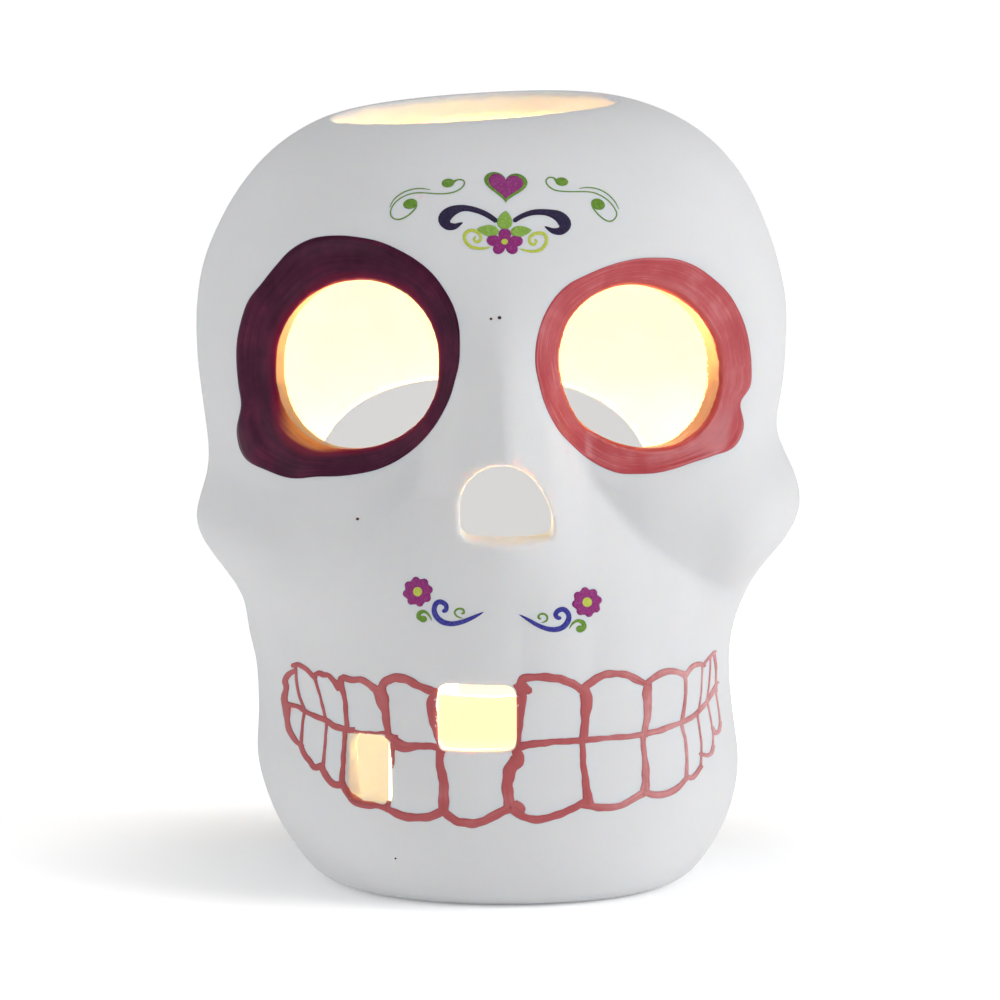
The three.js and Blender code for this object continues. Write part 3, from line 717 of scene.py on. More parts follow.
# Tooth outlines, left to right: across, down and width of each brush stroke
toothStrokes = [
    [(286, 710, 5), (284, 697, 6), (286, 687, 5), (285, 680, 5), (288, 674, 5), (294, 671, 4)],
    [(286, 707, 6), (287, 723, 5), (291, 734, 4.5), (297, 742, 4), (301, 745, 3)],
    [(295, 666, 2.6), (296, 680, 2.4), (298.5, 694, 2.4), (304, 710, 2.6)],
    [(293, 665, 3), (298, 664, 4), (304, 667, 4), (310, 673, 3.8), (314, 677, 3)],
    [(313.5, 676, 2.6), (318, 690, 2.4), (321.5, 703, 2.4), (325, 719, 2.8)],
    [(313, 675, 3), (318, 672.5, 4.4), (323, 674.5, 4.6), (328, 674.5, 4.4), (333, 680, 4.4),
     (339, 687, 5)],
    [(340, 684, 6), (344, 697, 4), (345.3, 710, 3.6), (347, 727, 4)],
    [(339, 684, 4), (342, 677.5, 5.6), (350, 679.5, 5.4), (360, 679, 5.6), (368, 683.5, 5.6),
     (377, 690, 6)],
    [(379, 688, 12), (381.5, 700, 11), (385, 713, 7), (387.5, 733, 5.5)],
    [(377, 692, 5), (385, 681.5, 7), (394, 677.5, 6.8), (404, 678.5, 6.8), (415, 683.5, 6.4),
     (426, 688.5, 6.6), (436, 692.5, 7)],
    [(435, 690, 7), (431.5, 703, 9), (434, 720, 9), (438.5, 737, 7), (442, 750, 5)],
    [(288, 704, 4), (297, 706, 3.8), (304, 710.5, 4), (314, 715.5, 4.4), (325, 719.5, 4.6), (334, 726, 5),
     (344, 728.5, 5), (352, 729.5, 4)],
    [(350, 730.5, 3), (362, 732, 3), (374, 734, 5), (384, 735, 8), (392, 741, 10), (402, 746, 8.6),
     (418, 746, 6.4), (432, 746, 6), (443, 748.5, 6)],
    [(304, 711, 2.8), (302, 725, 2.4), (301, 740, 2.8), (301.5, 746, 3)],
    [(300, 744, 4), (304, 754, 4.4), (310, 762, 5), (314.5, 767, 5.4), (321, 766, 5)],
    [(326, 724, 2.6), (324.8, 740, 2.4), (323.5, 756, 2.8), (322, 766, 3.4)],
    [(321, 767, 5), (327.5, 778, 5.4), (334, 784, 5.8), (342, 784.5, 6)],
    [(345, 728, 4.4), (343.5, 746, 4), (342.5, 763, 4), (341.5, 781, 5)],
    [(341, 782, 6), (347, 791, 6.4), (354, 799.5, 7.4), (364, 804.5, 6.6), (376, 804.5, 5.6),
     (386, 807.5, 6)],
    [(391, 737, 9), (391.5, 757, 5), (389.2, 776, 4.6), (388, 796, 5), (386.5, 806, 6)],
    [(383, 806, 4), (393, 811.5, 6), (403, 816, 6.6), (416, 817, 6.6), (430, 816, 6.6), (442, 811, 7)],
    [(440, 750, 7), (439.2, 763, 7), (442.5, 777, 8), (443.3, 793, 8), (443.3, 811, 9)],
    [(443, 810, 7), (451.5, 818, 7), (461.5, 822.5, 7), (478, 822, 7), (493, 816, 7), (508, 808, 8)],
    [(519, 686, 9), (520, 700, 10), (519, 717, 7.4), (517.5, 733, 6.4), (517, 747, 5)],
    [(517, 686, 5), (523, 678.5, 7), (533, 676.7, 6.8), (545, 676.7, 6.8), (560, 678.3, 6.8),
     (572, 683.5, 7), (583, 690, 7)],
    [(522, 684, 6), (525, 688.5, 7), (529, 690.5, 5)],
    [(584, 687, 8), (586, 700, 10), (584.7, 717, 7.6), (583.3, 737, 6.6)],
    [(583, 687.5, 6), (593, 680, 6.6), (605, 674.2, 6.4), (618, 673, 6.4), (630, 676, 6.4),
     (640, 681, 6.4), (647, 684.5, 6)],
    [(646.7, 685, 8), (646.7, 700, 7.6), (646.7, 717, 6.4), (644, 734, 5)],
    [(645, 683.5, 5), (655, 676, 6), (667, 671, 5.8), (675, 671, 5.6), (683.5, 674, 5)],
    [(684.7, 674, 3.4), (685.3, 688, 3), (684, 705, 3), (681.7, 719, 3.4)],
    [(686.5, 673.5, 3), (691.7, 666, 4.2), (698.5, 663.5, 4.2), (703, 664.5, 3)],
    [(702, 665, 1.8), (701.3, 682, 1.6), (700.3, 697, 1.6), (697.5, 712, 1.8)],
    [(703, 664.5, 2), (707.5, 658.5, 2.4), (712, 654, 2.6), (714, 652, 2)],
    [(710, 657, 1.6), (709.7, 670, 1.6), (708.3, 686, 1.6), (707.3, 694, 1.6)],
    [(713.5, 653, 2.6), (715, 662, 3), (715.4, 671, 2.2), (715.6, 680, 2), (715.8, 689, 2.2)],
    [(517, 746, 7), (533, 743.5, 6.4), (549, 741.7, 5.6), (564, 741, 5), (582, 739.8, 5),
     (599, 738.3, 4.6), (617, 736.7, 4.6), (634, 735.3, 4.8), (645, 733.3, 5), (659, 730, 5),
     (672, 725, 4.8), (684, 720.8, 4.8), (695, 714, 4.4), (703.5, 705, 3.8), (709, 697, 3.6),
     (713.5, 688, 3.4), (716, 683, 3)],
    [(515, 749, 6), (517.3, 756.5, 11), (510.5, 768, 11), (507, 780, 9.4), (507.6, 793, 9),
     (510, 807, 9)],
    [(509, 806, 8), (520, 814.5, 6.8), (531.5, 818.5, 6), (543.5, 818, 6), (556.7, 815, 6), (570, 809, 6),
     (584, 802, 6)],
    [(515, 803, 6), (519.5, 806.5, 7), (522, 810, 5)],
    [(582, 740, 5), (582.5, 757, 5), (584, 773, 5.4), (586, 788, 7), (588, 802, 9)],
    [(583, 804, 6), (596.7, 806.7, 6), (610, 807, 5.8), (623, 804, 5.8), (633.5, 798, 6), (644, 791, 7)],
    [(642.5, 735, 5), (643.3, 750, 5), (645, 767, 6), (645, 783, 7.4), (644, 793, 8)],
    [(645, 791.5, 6), (651.7, 794.2, 6), (661.7, 794.2, 5.8), (671.7, 791, 5.8), (680, 785, 5),
     (686, 777.5, 4)],
    [(681.7, 727, 3), (685, 740, 2.8), (686.3, 757, 2.8), (686.3, 775, 3.4)],
    [(686.5, 775, 3), (691, 777.5, 4.2), (696, 773, 4), (700, 766.5, 3)],
    [(697, 715, 2.2), (699.3, 730, 2), (701, 745, 2), (700.5, 763, 2.2)],
    [(701, 753.5, 2.6), (706.7, 755, 3.4), (711, 752.5, 3.4), (712.5, 746.5, 2.6)],
    [(706.7, 700, 1.8), (710, 717, 1.8), (712.5, 733, 1.8), (712.5, 746, 2)],
    [(712.5, 728, 2.4), (715, 733, 3.4), (718.7, 730, 3.2), (719.7, 723, 2.2)],
    [(715, 688, 2), (717, 702, 1.8), (718.7, 713, 1.8), (719.7, 723, 2)],
]


def makeToothOutlines():
    bm = bmesh.new()
    for stroke in toothStrokes:
        layStroke(bm, stroke)
    return closeFilm("tooth_outlines", bm)


toothOutlines = makeToothOutlines()
print("paint:", len(toothStrokes), "tooth strokes and", len(rings), "eye rings")


# Transfers: small traditional ornaments, one sheet of film for each ink; outlines run round a centre.
def turned(u, v, heading):
    a = math.radians(heading)
    return u * math.cos(a) - v * math.sin(a), -u * math.sin(a) - v * math.cos(a)


def heart(size, lean):
    def outline(turn):
        x = 16 * math.sin(turn) ** 3
        y = 13 * math.cos(turn) - 5 * math.cos(2 * turn) - 2 * math.cos(3 * turn) - math.cos(4 * turn)
        return size * 1.36 * x, -size * 1.06 * (y + 2.5) + lean * x
    return outline


def leaf(reach, halfWidth, heading):
    def outline(turn):
        c = math.cos(turn)
        s = math.sin(turn)
        return turned(reach * c, halfWidth * s * (1 - 0.35 * c) * (abs(s) ** 0.25), heading)
    return outline


def blossom(reach, petals, depth, tilt):
    def outline(turn):
        wave = abs(math.cos(petals / 2 * (turn - math.radians(tilt))))
        size = reach * (1 - depth * (1 - wave ** 0.55))
        return size * math.cos(turn), -size * math.sin(turn)
    return outline


def disc(halfWidth, halfHeight, heading=0):
    def outline(turn):
        return turned(halfWidth * math.cos(turn), halfHeight * math.sin(turn), heading)
    return outline


# a patch is its centre, its outline and its corners, a stroke is drawn like those of the teeth
ornaments = {
    "transfer_green": {
        "patches": [
            ((505.3, 187.5), heart(1, 0.1), 48), ((447.5, 182.5), disc(6.4, 4.4, 6), 40),
            ((409.7, 203.3), disc(7.2, 5, 14), 40), ((561.3, 181.2), disc(6.4, 4.3, -6), 40),
            ((597.5, 203.7), disc(7.2, 5.4, -22), 40), ((422.5, 618.5), disc(4, 3.4), 40),
            ((579.5, 628.5), disc(4, 3.6), 40)],
        "strokes": [
            [(452, 182, 3), (457, 179.3, 1.6), (462, 179.5, 1.4), (464, 182.5, 1.4), (461.5, 187, 1.4),
             (455, 191, 1.4), (446, 193, 1.3), (435, 193.2, 1.2), (423, 192.3, 1.2), (413, 192.7, 1.2),
             (403, 196, 1.2), (395, 201.7, 1.2), (390.5, 209, 1.3), (390.5, 215, 1.4),
             (394.3, 218.4, 1.4), (400, 218.7, 1.4), (407.5, 215, 1.4), (414, 209, 1.5),
             (416, 204.5, 1.8), (414, 201, 3)],
            [(389, 207, 0.7), (393.5, 199, 1.1), (401.7, 192.5, 1.2), (411.7, 188.8, 1.2),
             (421.7, 188, 1.1), (430, 189.3, 0.6)],
            [(556, 181, 3), (553.3, 177.5, 1.6), (548.5, 177, 1.4), (545.5, 180.3, 1.4),
             (547.5, 185, 1.4), (553.5, 189.2, 1.4), (561.7, 190.8, 1.3), (573, 191.2, 1.2),
             (586.7, 191.2, 1.2), (596.7, 193.3, 1.2), (606.7, 199.2, 1.2), (614, 207.5, 1.2),
             (616.3, 214, 1.3), (613.3, 219.2, 1.4), (608.3, 220.8, 1.4), (601.7, 217.5, 1.4),
             (595, 210.8, 1.5), (591.7, 205, 1.8), (593, 201, 3)],
            [(618.5, 209, 0.7), (614.2, 200.8, 1.1), (606.7, 193.3, 1.2), (596.7, 188.3, 1.2),
             (586.7, 187, 1.1), (578.5, 188, 0.6)],
            [(431.5, 620.5, 0.8), (428.6, 615, 2), (424.3, 611.2, 3.2), (419.5, 612, 4.4), (418, 616, 5),
             (421, 619, 5)],
            [(463, 618, 0.8), (456.6, 616, 1.7), (454, 611.6, 1.9), (457.6, 608.2, 2), (462.6, 609, 2.2),
             (463.4, 612.6, 2.4), (460.4, 613, 2)],
            [(568.6, 628.6, 0.8), (572.2, 622.9, 2.2), (577.9, 620, 3.4), (583.3, 623, 4.8),
             (583, 628, 5), (579, 629.5, 5)],
            [(540.7, 622, 0.8), (545.7, 620.7, 1.8), (546.8, 616.4, 2), (543.6, 613.3, 2),
             (538.6, 614.2, 2.2), (538.2, 617.8, 2.4), (541, 618.3, 2)],
        ]},
    "transfer_leaf": {
        "patches": [
            ((504.3, 219.8), leaf(9.4, 7.4, 84), 40), ((487.5, 230), leaf(11, 5.6, 172), 40),
            ((520.5, 230.8), leaf(10.6, 5.4, 6), 40)],
        "strokes": []},
    "transfer_magenta": {
        "patches": [
            ((505.3, 187), heart(0.86, 0.1), 48), ((504.3, 234), disc(6.4, 6.2), 40),
            ((493, 240), disc(7, 5.6), 40), ((498.6, 247.6), disc(6.6, 5.6, 40), 40),
            ((511.2, 247.6), disc(6.6, 5.6, -40), 40), ((515.4, 240.6), disc(7, 5.6), 40),
            ((504, 242), disc(7, 6), 40), ((417.3, 591.2), blossom(15.2, 8, 0.3, 10), 40),
            ((586.4, 601.6), blossom(15.2, 8, 0.3, 10), 40)],
        "strokes": []},
    "transfer_indigo": {
        "patches": [],
        "strokes": [
            [(497, 221.5, 5), (487, 214.5, 5.4), (475, 209.5, 5.6), (462, 207.6, 6.6), (450, 211.5, 11),
             (444, 218.4, 13), (447, 225, 9), (453.5, 226, 6.4), (459, 223.6, 3.4), (462.3, 222, 0.8)],
            [(512.5, 221, 4.6), (521.5, 215.6, 5), (533, 211.9, 5.6), (546.5, 212, 6.6), (558.5, 216, 11),
             (564.3, 223.4, 13), (561, 230, 8.6), (553.5, 230.6, 6), (547, 227.6, 3),
             (544.2, 225.8, 0.8)],
        ]},
    "transfer_lime": {
        "patches": [
            ((504, 241.4), disc(3.9, 3.4), 40), ((417.3, 591), disc(5.3, 5.4), 40),
            ((586.4, 601.5), disc(5.6, 5.6), 40)],
        "strokes": [
            [(490, 246.7, 1.6), (480, 248, 2.8), (470, 245.9, 3.4), (464.3, 239.3, 3.6),
             (465, 232.6, 3.6), (471.7, 229.7, 3.4), (479, 233.2, 3.2), (480, 239, 3), (476, 241.6, 2.8),
             (473.4, 238.6, 2.6), (475.6, 236, 2)],
            [(519.2, 248.4, 1.6), (530, 250.8, 2.8), (540, 249.2, 3.4), (545.8, 241.7, 3.6),
             (544.2, 234.2, 3.6), (537.5, 232.5, 3.4), (530, 235.8, 3.2), (529.2, 241.7, 3),
             (533, 244.2, 2.8), (536, 241, 2.6), (534, 238.6, 2)],
        ]},
    "transfer_blue": {
        "patches": [],
        "strokes": [
            [(483.3, 611.4, 0.8), (475, 615.7, 3.4), (463.6, 620.7, 4.6), (452, 623.3, 5),
             (442, 621.4, 5.6), (435.7, 615.7, 5.6), (433.6, 609.3, 5.2), (435.7, 602.9, 5.2),
             (440.7, 601.4, 5), (445.7, 605, 4.8), (445, 610, 4.4), (441.4, 610.4, 3.4)],
            [(518.6, 613.9, 0.8), (527.9, 619.3, 3.4), (539.3, 625.7, 4.4), (550.7, 629, 5),
             (560.7, 627.6, 5.4), (567.1, 621.4, 5.6), (568.1, 614.3, 5.2), (563.6, 609, 5.2),
             (557.9, 610, 5), (555, 614.3, 4.8), (557.9, 617.6, 4.2), (560.7, 616.7, 3)],
        ]},
}


def makeTransfer(name, ornament, share):
    bm = bmesh.new()
    for stroke in ornament["strokes"]:
        layStroke(bm, stroke, 0.5, False)
    for centre, outline, corners in ornament["patches"]:
        layPatch(bm, centre, outline, corners, 5, share)
    return closeFilm(name, bm)


# Flecks of iron that came to the surface in the kiln
def makeSpecks():
    bm = bmesh.new()
    for across, down, size in ((490.5, 318.3, 1.5), (499, 317.2, 2), (357, 518.5, 1.7), (395, 858, 1.1)):
        layPatch(bm, (across, down), disc(size, size * 0.85), 12, 3)
    return closeFilm("kiln_specks", bm)


film["thick"] = 0.05 * mm  # prints and flecks lie thinner than paint, and each ink over the one before
kilnSpecks = makeSpecks()
transfers = {}
for order, (name, ornament) in enumerate(ornaments.items()):
    transfers[name] = makeTransfer(name, ornament, 1 + 0.5 * order)
print("transfers:", len(transfers), "inks")


# Finishes: colours are written as a screen shows them and turned into light
def linear(code):
    parts = [int(code[i:i + 2], 16) / 255 for i in (1, 3, 5)]
    return tuple(p / 12.92 if p <= 0.04045 else ((p + 0.055) / 1.055) ** 2.4 for p in parts) + (1,)


# Adds a node: a socket takes a value, another node's output or a node, which stands for its first output;
# settings are the node's own attributes.
def addNode(material, kind, sockets=None, **settings):
    node = material.node_tree.nodes.new(kind)
    for name, value in settings.items():
        setattr(node, name, value)
    for name, value in (sockets or {}).items():
        entry = node.inputs[name]  # a name, or a place where names repeat
        if isinstance(value, bpy.types.Node):
            value = value.outputs[0]
        if isinstance(value, bpy.types.NodeSocket):
            material.node_tree.links.new(value, entry)
        else:
            entry.default_value = value
    return node


inColour = {"data_type": "RGBA"}
soft = {"interpolation_type": "SMOOTHSTEP"}
falling = {"To Min": 1, "To Max": 0}


def newMaterial(name):
    material = bpy.data.materials.new(name)
    material.use_nodes = True
    material.node_tree.nodes.clear()
    return material


def finishWith(material, shader):
    addNode(material, "ShaderNodeOutputMaterial", {"Surface": shader})


def dress(piece, material):
    piece.data.materials.clear()
    piece.data.materials.append(material)


# Unglazed earthenware from a plaster mould: chalky, with a fine tooth and faint clouding from the slip
def bisqueFinish():
    material = newMaterial("bisque earthenware, slip-cast")
    add = partial(addNode, material)
    place = add("ShaderNodeTexCoord").outputs["Object"]
    clouds = add("ShaderNodeTexNoise", {"Vector": place, "Scale": 45, "Detail": 4, "Roughness": 0.6})
    tint = add("ShaderNodeMix",
               {"Factor": clouds, 6: linear("#d9dadc"), 7: linear("#e0e1e3")}, **inColour)
    grit = add("ShaderNodeTexNoise", {"Vector": place, "Scale": 2200, "Detail": 3, "Roughness": 0.6})
    bump = add("ShaderNodeBump", {"Height": grit, "Strength": 0.15, "Distance": 0.0002})
    shader = add("ShaderNodeBsdfPrincipled",
                 {"Base Color": tint.outputs[2], "Roughness": 0.8, "Normal": bump})
    shader.inputs["Specular IOR Level"].default_value = 0.25
    # light bleeds a millimetre or two into the clay, so that cut edges glow warm
    shader.inputs["Subsurface Weight"].default_value = 0.5
    shader.inputs["Subsurface Radius"].default_value = (1, 0.62, 0.4)
    shader.inputs["Subsurface Scale"].default_value = 0.002
    finishWith(material, shader)
    return material


dress(skullCasting, bisqueFinish())


# Ceramic paint laid on by brush: streaks follow the stroke, glossy where the coat is full;
# round the eyes the coat is thin at the cut edge, and the warm glow of the light inside is painted into
# it there.
def brushedFinish(name, deep, full, streak, gloss, level, edge=None, glowWash=None, ember=None, pale=None):
    material = newMaterial(name)
    add = partial(addNode, material)
    stroke = add("ShaderNodeUVMap", uv_map="stroke").outputs["UV"]
    # bristle lines 0.4 mm apart that run some 9 mm before they fade
    drawn = add("ShaderNodeMapping", {"Vector": stroke, "Scale": (110, 2500, 1)})
    bristles = add("ShaderNodeTexNoise", {"Vector": drawn, "Scale": 1, "Detail": 3, "Roughness": 0.55})
    place = add("ShaderNodeTexCoord").outputs["Object"]
    pools = add("ShaderNodeTexNoise", {"Vector": place, "Scale": 160, "Detail": 3, "Roughness": 0.6})
    mixed = add("ShaderNodeMath", {0: bristles, 1: 0.65, 2: pools}, operation="MULTIPLY_ADD")
    spread = add("ShaderNodeMapRange", {"Value": mixed, "From Min": 0.55, "From Max": 1.1})
    ramp = add("ShaderNodeValToRGB", {"Fac": spread})
    ramp.color_ramp.elements[0].color = linear(deep)
    ramp.color_ramp.elements[1].color = linear(streak)
    ramp.color_ramp.elements.new(0.5).color = linear(full)
    colour = ramp.outputs["Color"]
    if edge:
        across = add("ShaderNodeSeparateXYZ", {"Vector": stroke})
        ragged = add("ShaderNodeMath",
                     {0: bristles, 1: 0.0012, 2: across.outputs["Y"]}, operation="MULTIPLY_ADD")
        # painted glow: the edge colour stands for the light inside shining through the thin coat
        rim = linear(edge)
        if ember:
            # painted glow: at one place the light shining through the coat is painted into it, some 9 mm
            # round
            away = add("ShaderNodeVectorMath", {0: place, 1: ember["place"]}, operation="DISTANCE")
            near = add("ShaderNodeMapRange",
                       {"Value": away.outputs["Value"], "From Min": 0.002, "From Max": 0.011, **falling},
                       **soft)
            ragged = add("ShaderNodeMath", {0: near, 1: -0.001, 2: ragged}, operation="MULTIPLY_ADD")
            rim = add("ShaderNodeMix",
                      {"Factor": near, 6: rim, 7: linear(ember["colour"])}, **inColour).outputs[2]
        lip = ringEdge["width"] * ringEdge["share"]
        thin = add("ShaderNodeMapRange",
                   {"Value": ragged, "From Min": lip, "From Max": lip + 0.0018, **falling}, **soft)
        paintedEdgeGlow = add("ShaderNodeMix", {"Factor": thin, 6: colour, 7: rim}, **inColour)
        if ember:
            # next to the cut, streaks of painted glow there stand for the clay lit from inside
            glowStreaks = add("ShaderNodeMapRange",
                       {"Value": ragged, "From Min": lip - 0.0004, "From Max": lip + 0.0009, **falling},
                       **soft)
            lit = add("ShaderNodeMath", {0: glowStreaks, 1: near}, operation="MULTIPLY")
            paintedEdgeGlow = add("ShaderNodeMix",
                       {"Factor": lit, 6: paintedEdgeGlow.outputs[2], 7: linear(ember["glowStreaks"])}, **inColour)
        # painted light: down the wall of the hole the wash takes a colour that stands for the warm light
        # from inside
        inside = add("ShaderNodeMapRange",
                     {"Value": across.outputs["Y"], "From Min": lip - 0.0003, "From Max": lip, **falling})
        glowWashed = add("ShaderNodeMix", {"Factor": inside, 6: paintedEdgeGlow.outputs[2], 7: linear(glowWash)}, **inColour)
        colour = glowWashed.outputs[2]
    if pale:
        # the brush ran dry towards the right-hand end, from 14 mm to 35 mm out
        side = add("ShaderNodeSeparateXYZ", {"Vector": place})
        towardsEnd = add("ShaderNodeMapRange",
                         {"Value": side.outputs["X"], "From Min": 0.014, "From Max": 0.035})
        patchy = add("ShaderNodeMath", {0: towardsEnd, 1: spread}, operation="MULTIPLY")
        dryness = add("ShaderNodeMath", {0: patchy, 1: 1.7}, operation="MULTIPLY", use_clamp=True)
        colour = add("ShaderNodeMix",
                     {"Factor": dryness, 6: colour, 7: linear(pale)}, **inColour).outputs[2]
    sheen = add("ShaderNodeMapRange", {"Value": bristles, "To Min": gloss - 0.08, "To Max": gloss + 0.14})
    bump = add("ShaderNodeBump", {"Height": bristles, "Strength": 0.3, "Distance": 0.00012})
    shader = add("ShaderNodeBsdfPrincipled",
                 {"Base Color": colour, "Roughness": sheen, "Normal": bump, "Specular IOR Level": level})
    finishWith(material, shader)
    return material


# painted glow at the lower inner edge of the left ring: a redder rim and orange streaks
plumEmber = {"place": onSkull(303, 441)[0], "colour": "#8c1f32", "glowStreaks": "#e2924e"}
# in each ring the edge colour is a painted glow of the light inside, and the wash colour is painted warm
# light on the wall of the hole
dress(eyeRings[0], brushedFinish(
    "aubergine ceramic paint, brushed", "#381226", "#471b33", "#5d223b", 0.3, 0.06,
    "#80183a", "#ae967c", plumEmber))
dress(eyeRings[1], brushedFinish(
    "coral ceramic paint, brushed", "#a93d45", "#b5494f", "#c2666a", 0.22, 0.3, "#c24a3c", "#e8b48a"))
dress(toothOutlines, brushedFinish(
    "brick-red ceramic paint, brushed", "#a6484c", "#ae5154", "#ba6668", 0.5, 0.4, pale="#d49a9a"))


# Screen-printed transfer fired on: flat ink with the dots and thin places of the screen
def transferFinish(name, ink, thin):
    material = newMaterial(name)
    add = partial(addNode, material)
    place = add("ShaderNodeTexCoord").outputs["Object"]
    dots = add("ShaderNodeTexNoise", {"Vector": place, "Scale": 2600, "Detail": 2, "Roughness": 0.5})
    spread = add("ShaderNodeMapRange", {"Value": dots, "From Min": 0.42, "From Max": 0.72})
    tint = add("ShaderNodeMix", {"Factor": spread, 6: linear(ink), 7: linear(thin)}, **inColour)
    shader = add("ShaderNodeBsdfPrincipled",
                 {"Base Color": tint.outputs[2], "Roughness": 0.5, "Specular IOR Level": 0.2})
    finishWith(material, shader)
    return material


inks = {
    "transfer_green": ("ceramic transfer, moss green", "#5c8529", "#779c42"),
    "transfer_leaf": ("ceramic transfer, leaf green", "#7da343", "#95b959"),
    "transfer_magenta": ("ceramic transfer, magenta", "#86266e", "#983c7e"),
    "transfer_indigo": ("ceramic transfer, indigo", "#251c3b", "#322a49"),
    "transfer_lime": ("ceramic transfer, lime", "#b4c045", "#c4cd68"),
    "transfer_blue": ("ceramic transfer, cobalt", "#2e2e88", "#4a4a9e"),
}
for name, transfer in transfers.items():
    dress(transfer, transferFinish(*inks[name]))
dress(kilnSpecks, transferFinish("iron fleck, fired", "#3d2a26", "#5b443c"))


# Warm diffused light of the flame-shaped lens: hottest at its root, over the diode.
# To the eye it is a soft flame, paler at the root, whose light fills the skull.
def flameFinish():
    material = newMaterial("polypropylene flame lens, lit")
    add = partial(addNode, material)
    place = add("ShaderNodeTexCoord").outputs["Object"]
    height = add("ShaderNodeSeparateXYZ", {"Vector": place})
    heat = add("ShaderNodeMapRange",
               {"Value": height.outputs["Z"], "From Min": 0.03, "From Max": 0.05, "To Min": 490,
                "To Max": 445})
    light = add("ShaderNodeEmission", {"Color": linear("#ffc578"), "Strength": heat})
    climb = add("ShaderNodeMapRange", {"Value": height.outputs["Z"], "From Min": 0.033, "From Max": 0.05})
    tint = add("ShaderNodeMix", {"Factor": climb, 6: linear("#fff4d6"), 7: linear("#ffb45a")}, **inColour)
    flame = add("ShaderNodeEmission", {"Color": tint.outputs[2], "Strength": 1.25})
    path = add("ShaderNodeLightPath")
    shader = add("ShaderNodeMixShader", {"Fac": path.outputs["Is Camera Ray"], 1: light, 2: flame})
    finishWith(material, shader)
    return material


# Injection-moulded plastic: fine spark-eroded grain, with painted shade in its pits;
# a glowing wall gives off light, four times as strong low down, that fades by occlusion where the piece
# stands in the open: the diode's own light, and on the cup a painted glow.
def mouldedFinish(name, colour, pitShade, roughness, diodeLightAndPaintedGlow=None):
    material = newMaterial(name)
    add = partial(addNode, material)
    place = add("ShaderNodeTexCoord").outputs["Object"]
    # grain 0.35 mm wide
    grain = add("ShaderNodeTexNoise", {"Vector": place, "Scale": 2800, "Detail": 2})
    clouds = add("ShaderNodeTexNoise", {"Vector": place, "Scale": 90, "Detail": 3})
    blend = add("ShaderNodeMath", {0: grain, 1: clouds}, operation="MULTIPLY")
    # painted shade: the pits of the grain take the darker colour
    tint = add("ShaderNodeMix", {"Factor": blend, 6: linear(pitShade), 7: linear(colour)}, **inColour)
    sheen = add("ShaderNodeMapRange",
                {"Value": grain, "To Min": roughness - 0.1, "To Max": roughness + 0.1})
    bump = add("ShaderNodeBump", {"Height": grain, "Strength": 0.2, "Distance": 0.0001})
    shader = add("ShaderNodeBsdfPrincipled",
                 {"Base Color": tint.outputs[2], "Roughness": sheen, "Normal": bump, "IOR": 1.49})
    if diodeLightAndPaintedGlow:
        # painted glow: the wall emits light, strongest below 14 mm, and occlusion dims it where the piece
        # stands in the open
        height = add("ShaderNodeSeparateXYZ", {"Vector": place})
        lit = add("ShaderNodeMapRange",
                  {"Value": height.outputs["Z"], "From Min": 0.014, "From Max": 0.027,
                   "To Min": diodeLightAndPaintedGlow * 4.4, "To Max": diodeLightAndPaintedGlow})
        openness = add("ShaderNodeAmbientOcclusion", {"Distance": 0.08}, samples=8)
        glowWhenEnclosed = add("ShaderNodeMapRange",
                   {"Value": openness.outputs["AO"], "From Min": 0.4, "From Max": 0.8, "To Min": 1,
                    "To Max": 0.1})
        shown = add("ShaderNodeMath", {0: lit, 1: glowWhenEnclosed}, operation="MULTIPLY")
        shader.inputs["Emission Color"].default_value = linear("#ffe6b8")
        material.node_tree.links.new(shown.outputs[0], shader.inputs["Emission Strength"])
    finishWith(material, shader)
    return material


# Plated or drawn metal: fine lines along one way, duller between them
def metalFinish(name, colour, dull, roughness, spacing):
    material = newMaterial(name)
    add = partial(addNode, material)
    place = add("ShaderNodeTexCoord").outputs["Object"]
    drawn = add("ShaderNodeMapping", {"Vector": place, "Scale": (80, 1 / spacing, 1 / spacing)})
    lines = add("ShaderNodeTexNoise", {"Vector": drawn, "Scale": 1, "Detail": 3, "Roughness": 0.6})
    tint = add("ShaderNodeMix", {"Factor": lines, 6: linear(dull), 7: linear(colour)}, **inColour)
    sheen = add("ShaderNodeMapRange",
                {"Value": lines, "To Min": roughness + 0.12, "To Max": roughness - 0.08})
    shader = add("ShaderNodeBsdfPrincipled",
                 {"Base Color": tint.outputs[2], "Metallic": 1, "Roughness": sheen})
    finishWith(material, shader)
    return material


milky = ("#eceae4", "#d9d5cb", 0.45)  # colour, its colour with painted shade in the pits, roughness
whitePlastic = mouldedFinish("polypropylene, moulded white", *milky)
blackPlastic = mouldedFinish("ABS, moulded black", "#1c1d1f", "#101112", 0.4)
tinned = metalFinish("copper wire, tinned", "#d3d5d6", "#aeb1b3", 0.3, 0.0002)
plated = metalFinish("steel, zinc-plated", "#c3c8cc", "#9ba1a6", 0.32, 0.0003)
nickel = metalFinish("spring steel, nickel-plated strip", "#cfcac0", "#aaa498", 0.25, 0.0002)
drawnSteel = metalFinish("stainless steel, drawn can", "#d2d3d3", "#b1b3b4", 0.22, 0.0004)
solderMask = mouldedFinish("glass-fibre board, green solder mask", "#23683f", "#18502f", 0.35)


cornerTurn = math.radians(30)


# The cup is round: the same form, with its facets shaded away and its corners kept
def makeCup():
    bm = bmesh.new()
    bm.from_mesh(nodes["tealight_housing"].data)
    bmesh.ops.remove_doubles(bm, verts=bm.verts, dist=0.001 * mm)
    for face in bm.faces:
        face.smooth = True
    for edge in bm.edges:
        edge.smooth = edge.calc_face_angle(math.pi) < cornerTurn
    return newObject("tealight_cup", bm)


cup = makeCup()
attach(cup, "tealight")
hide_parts("tealight_housing")
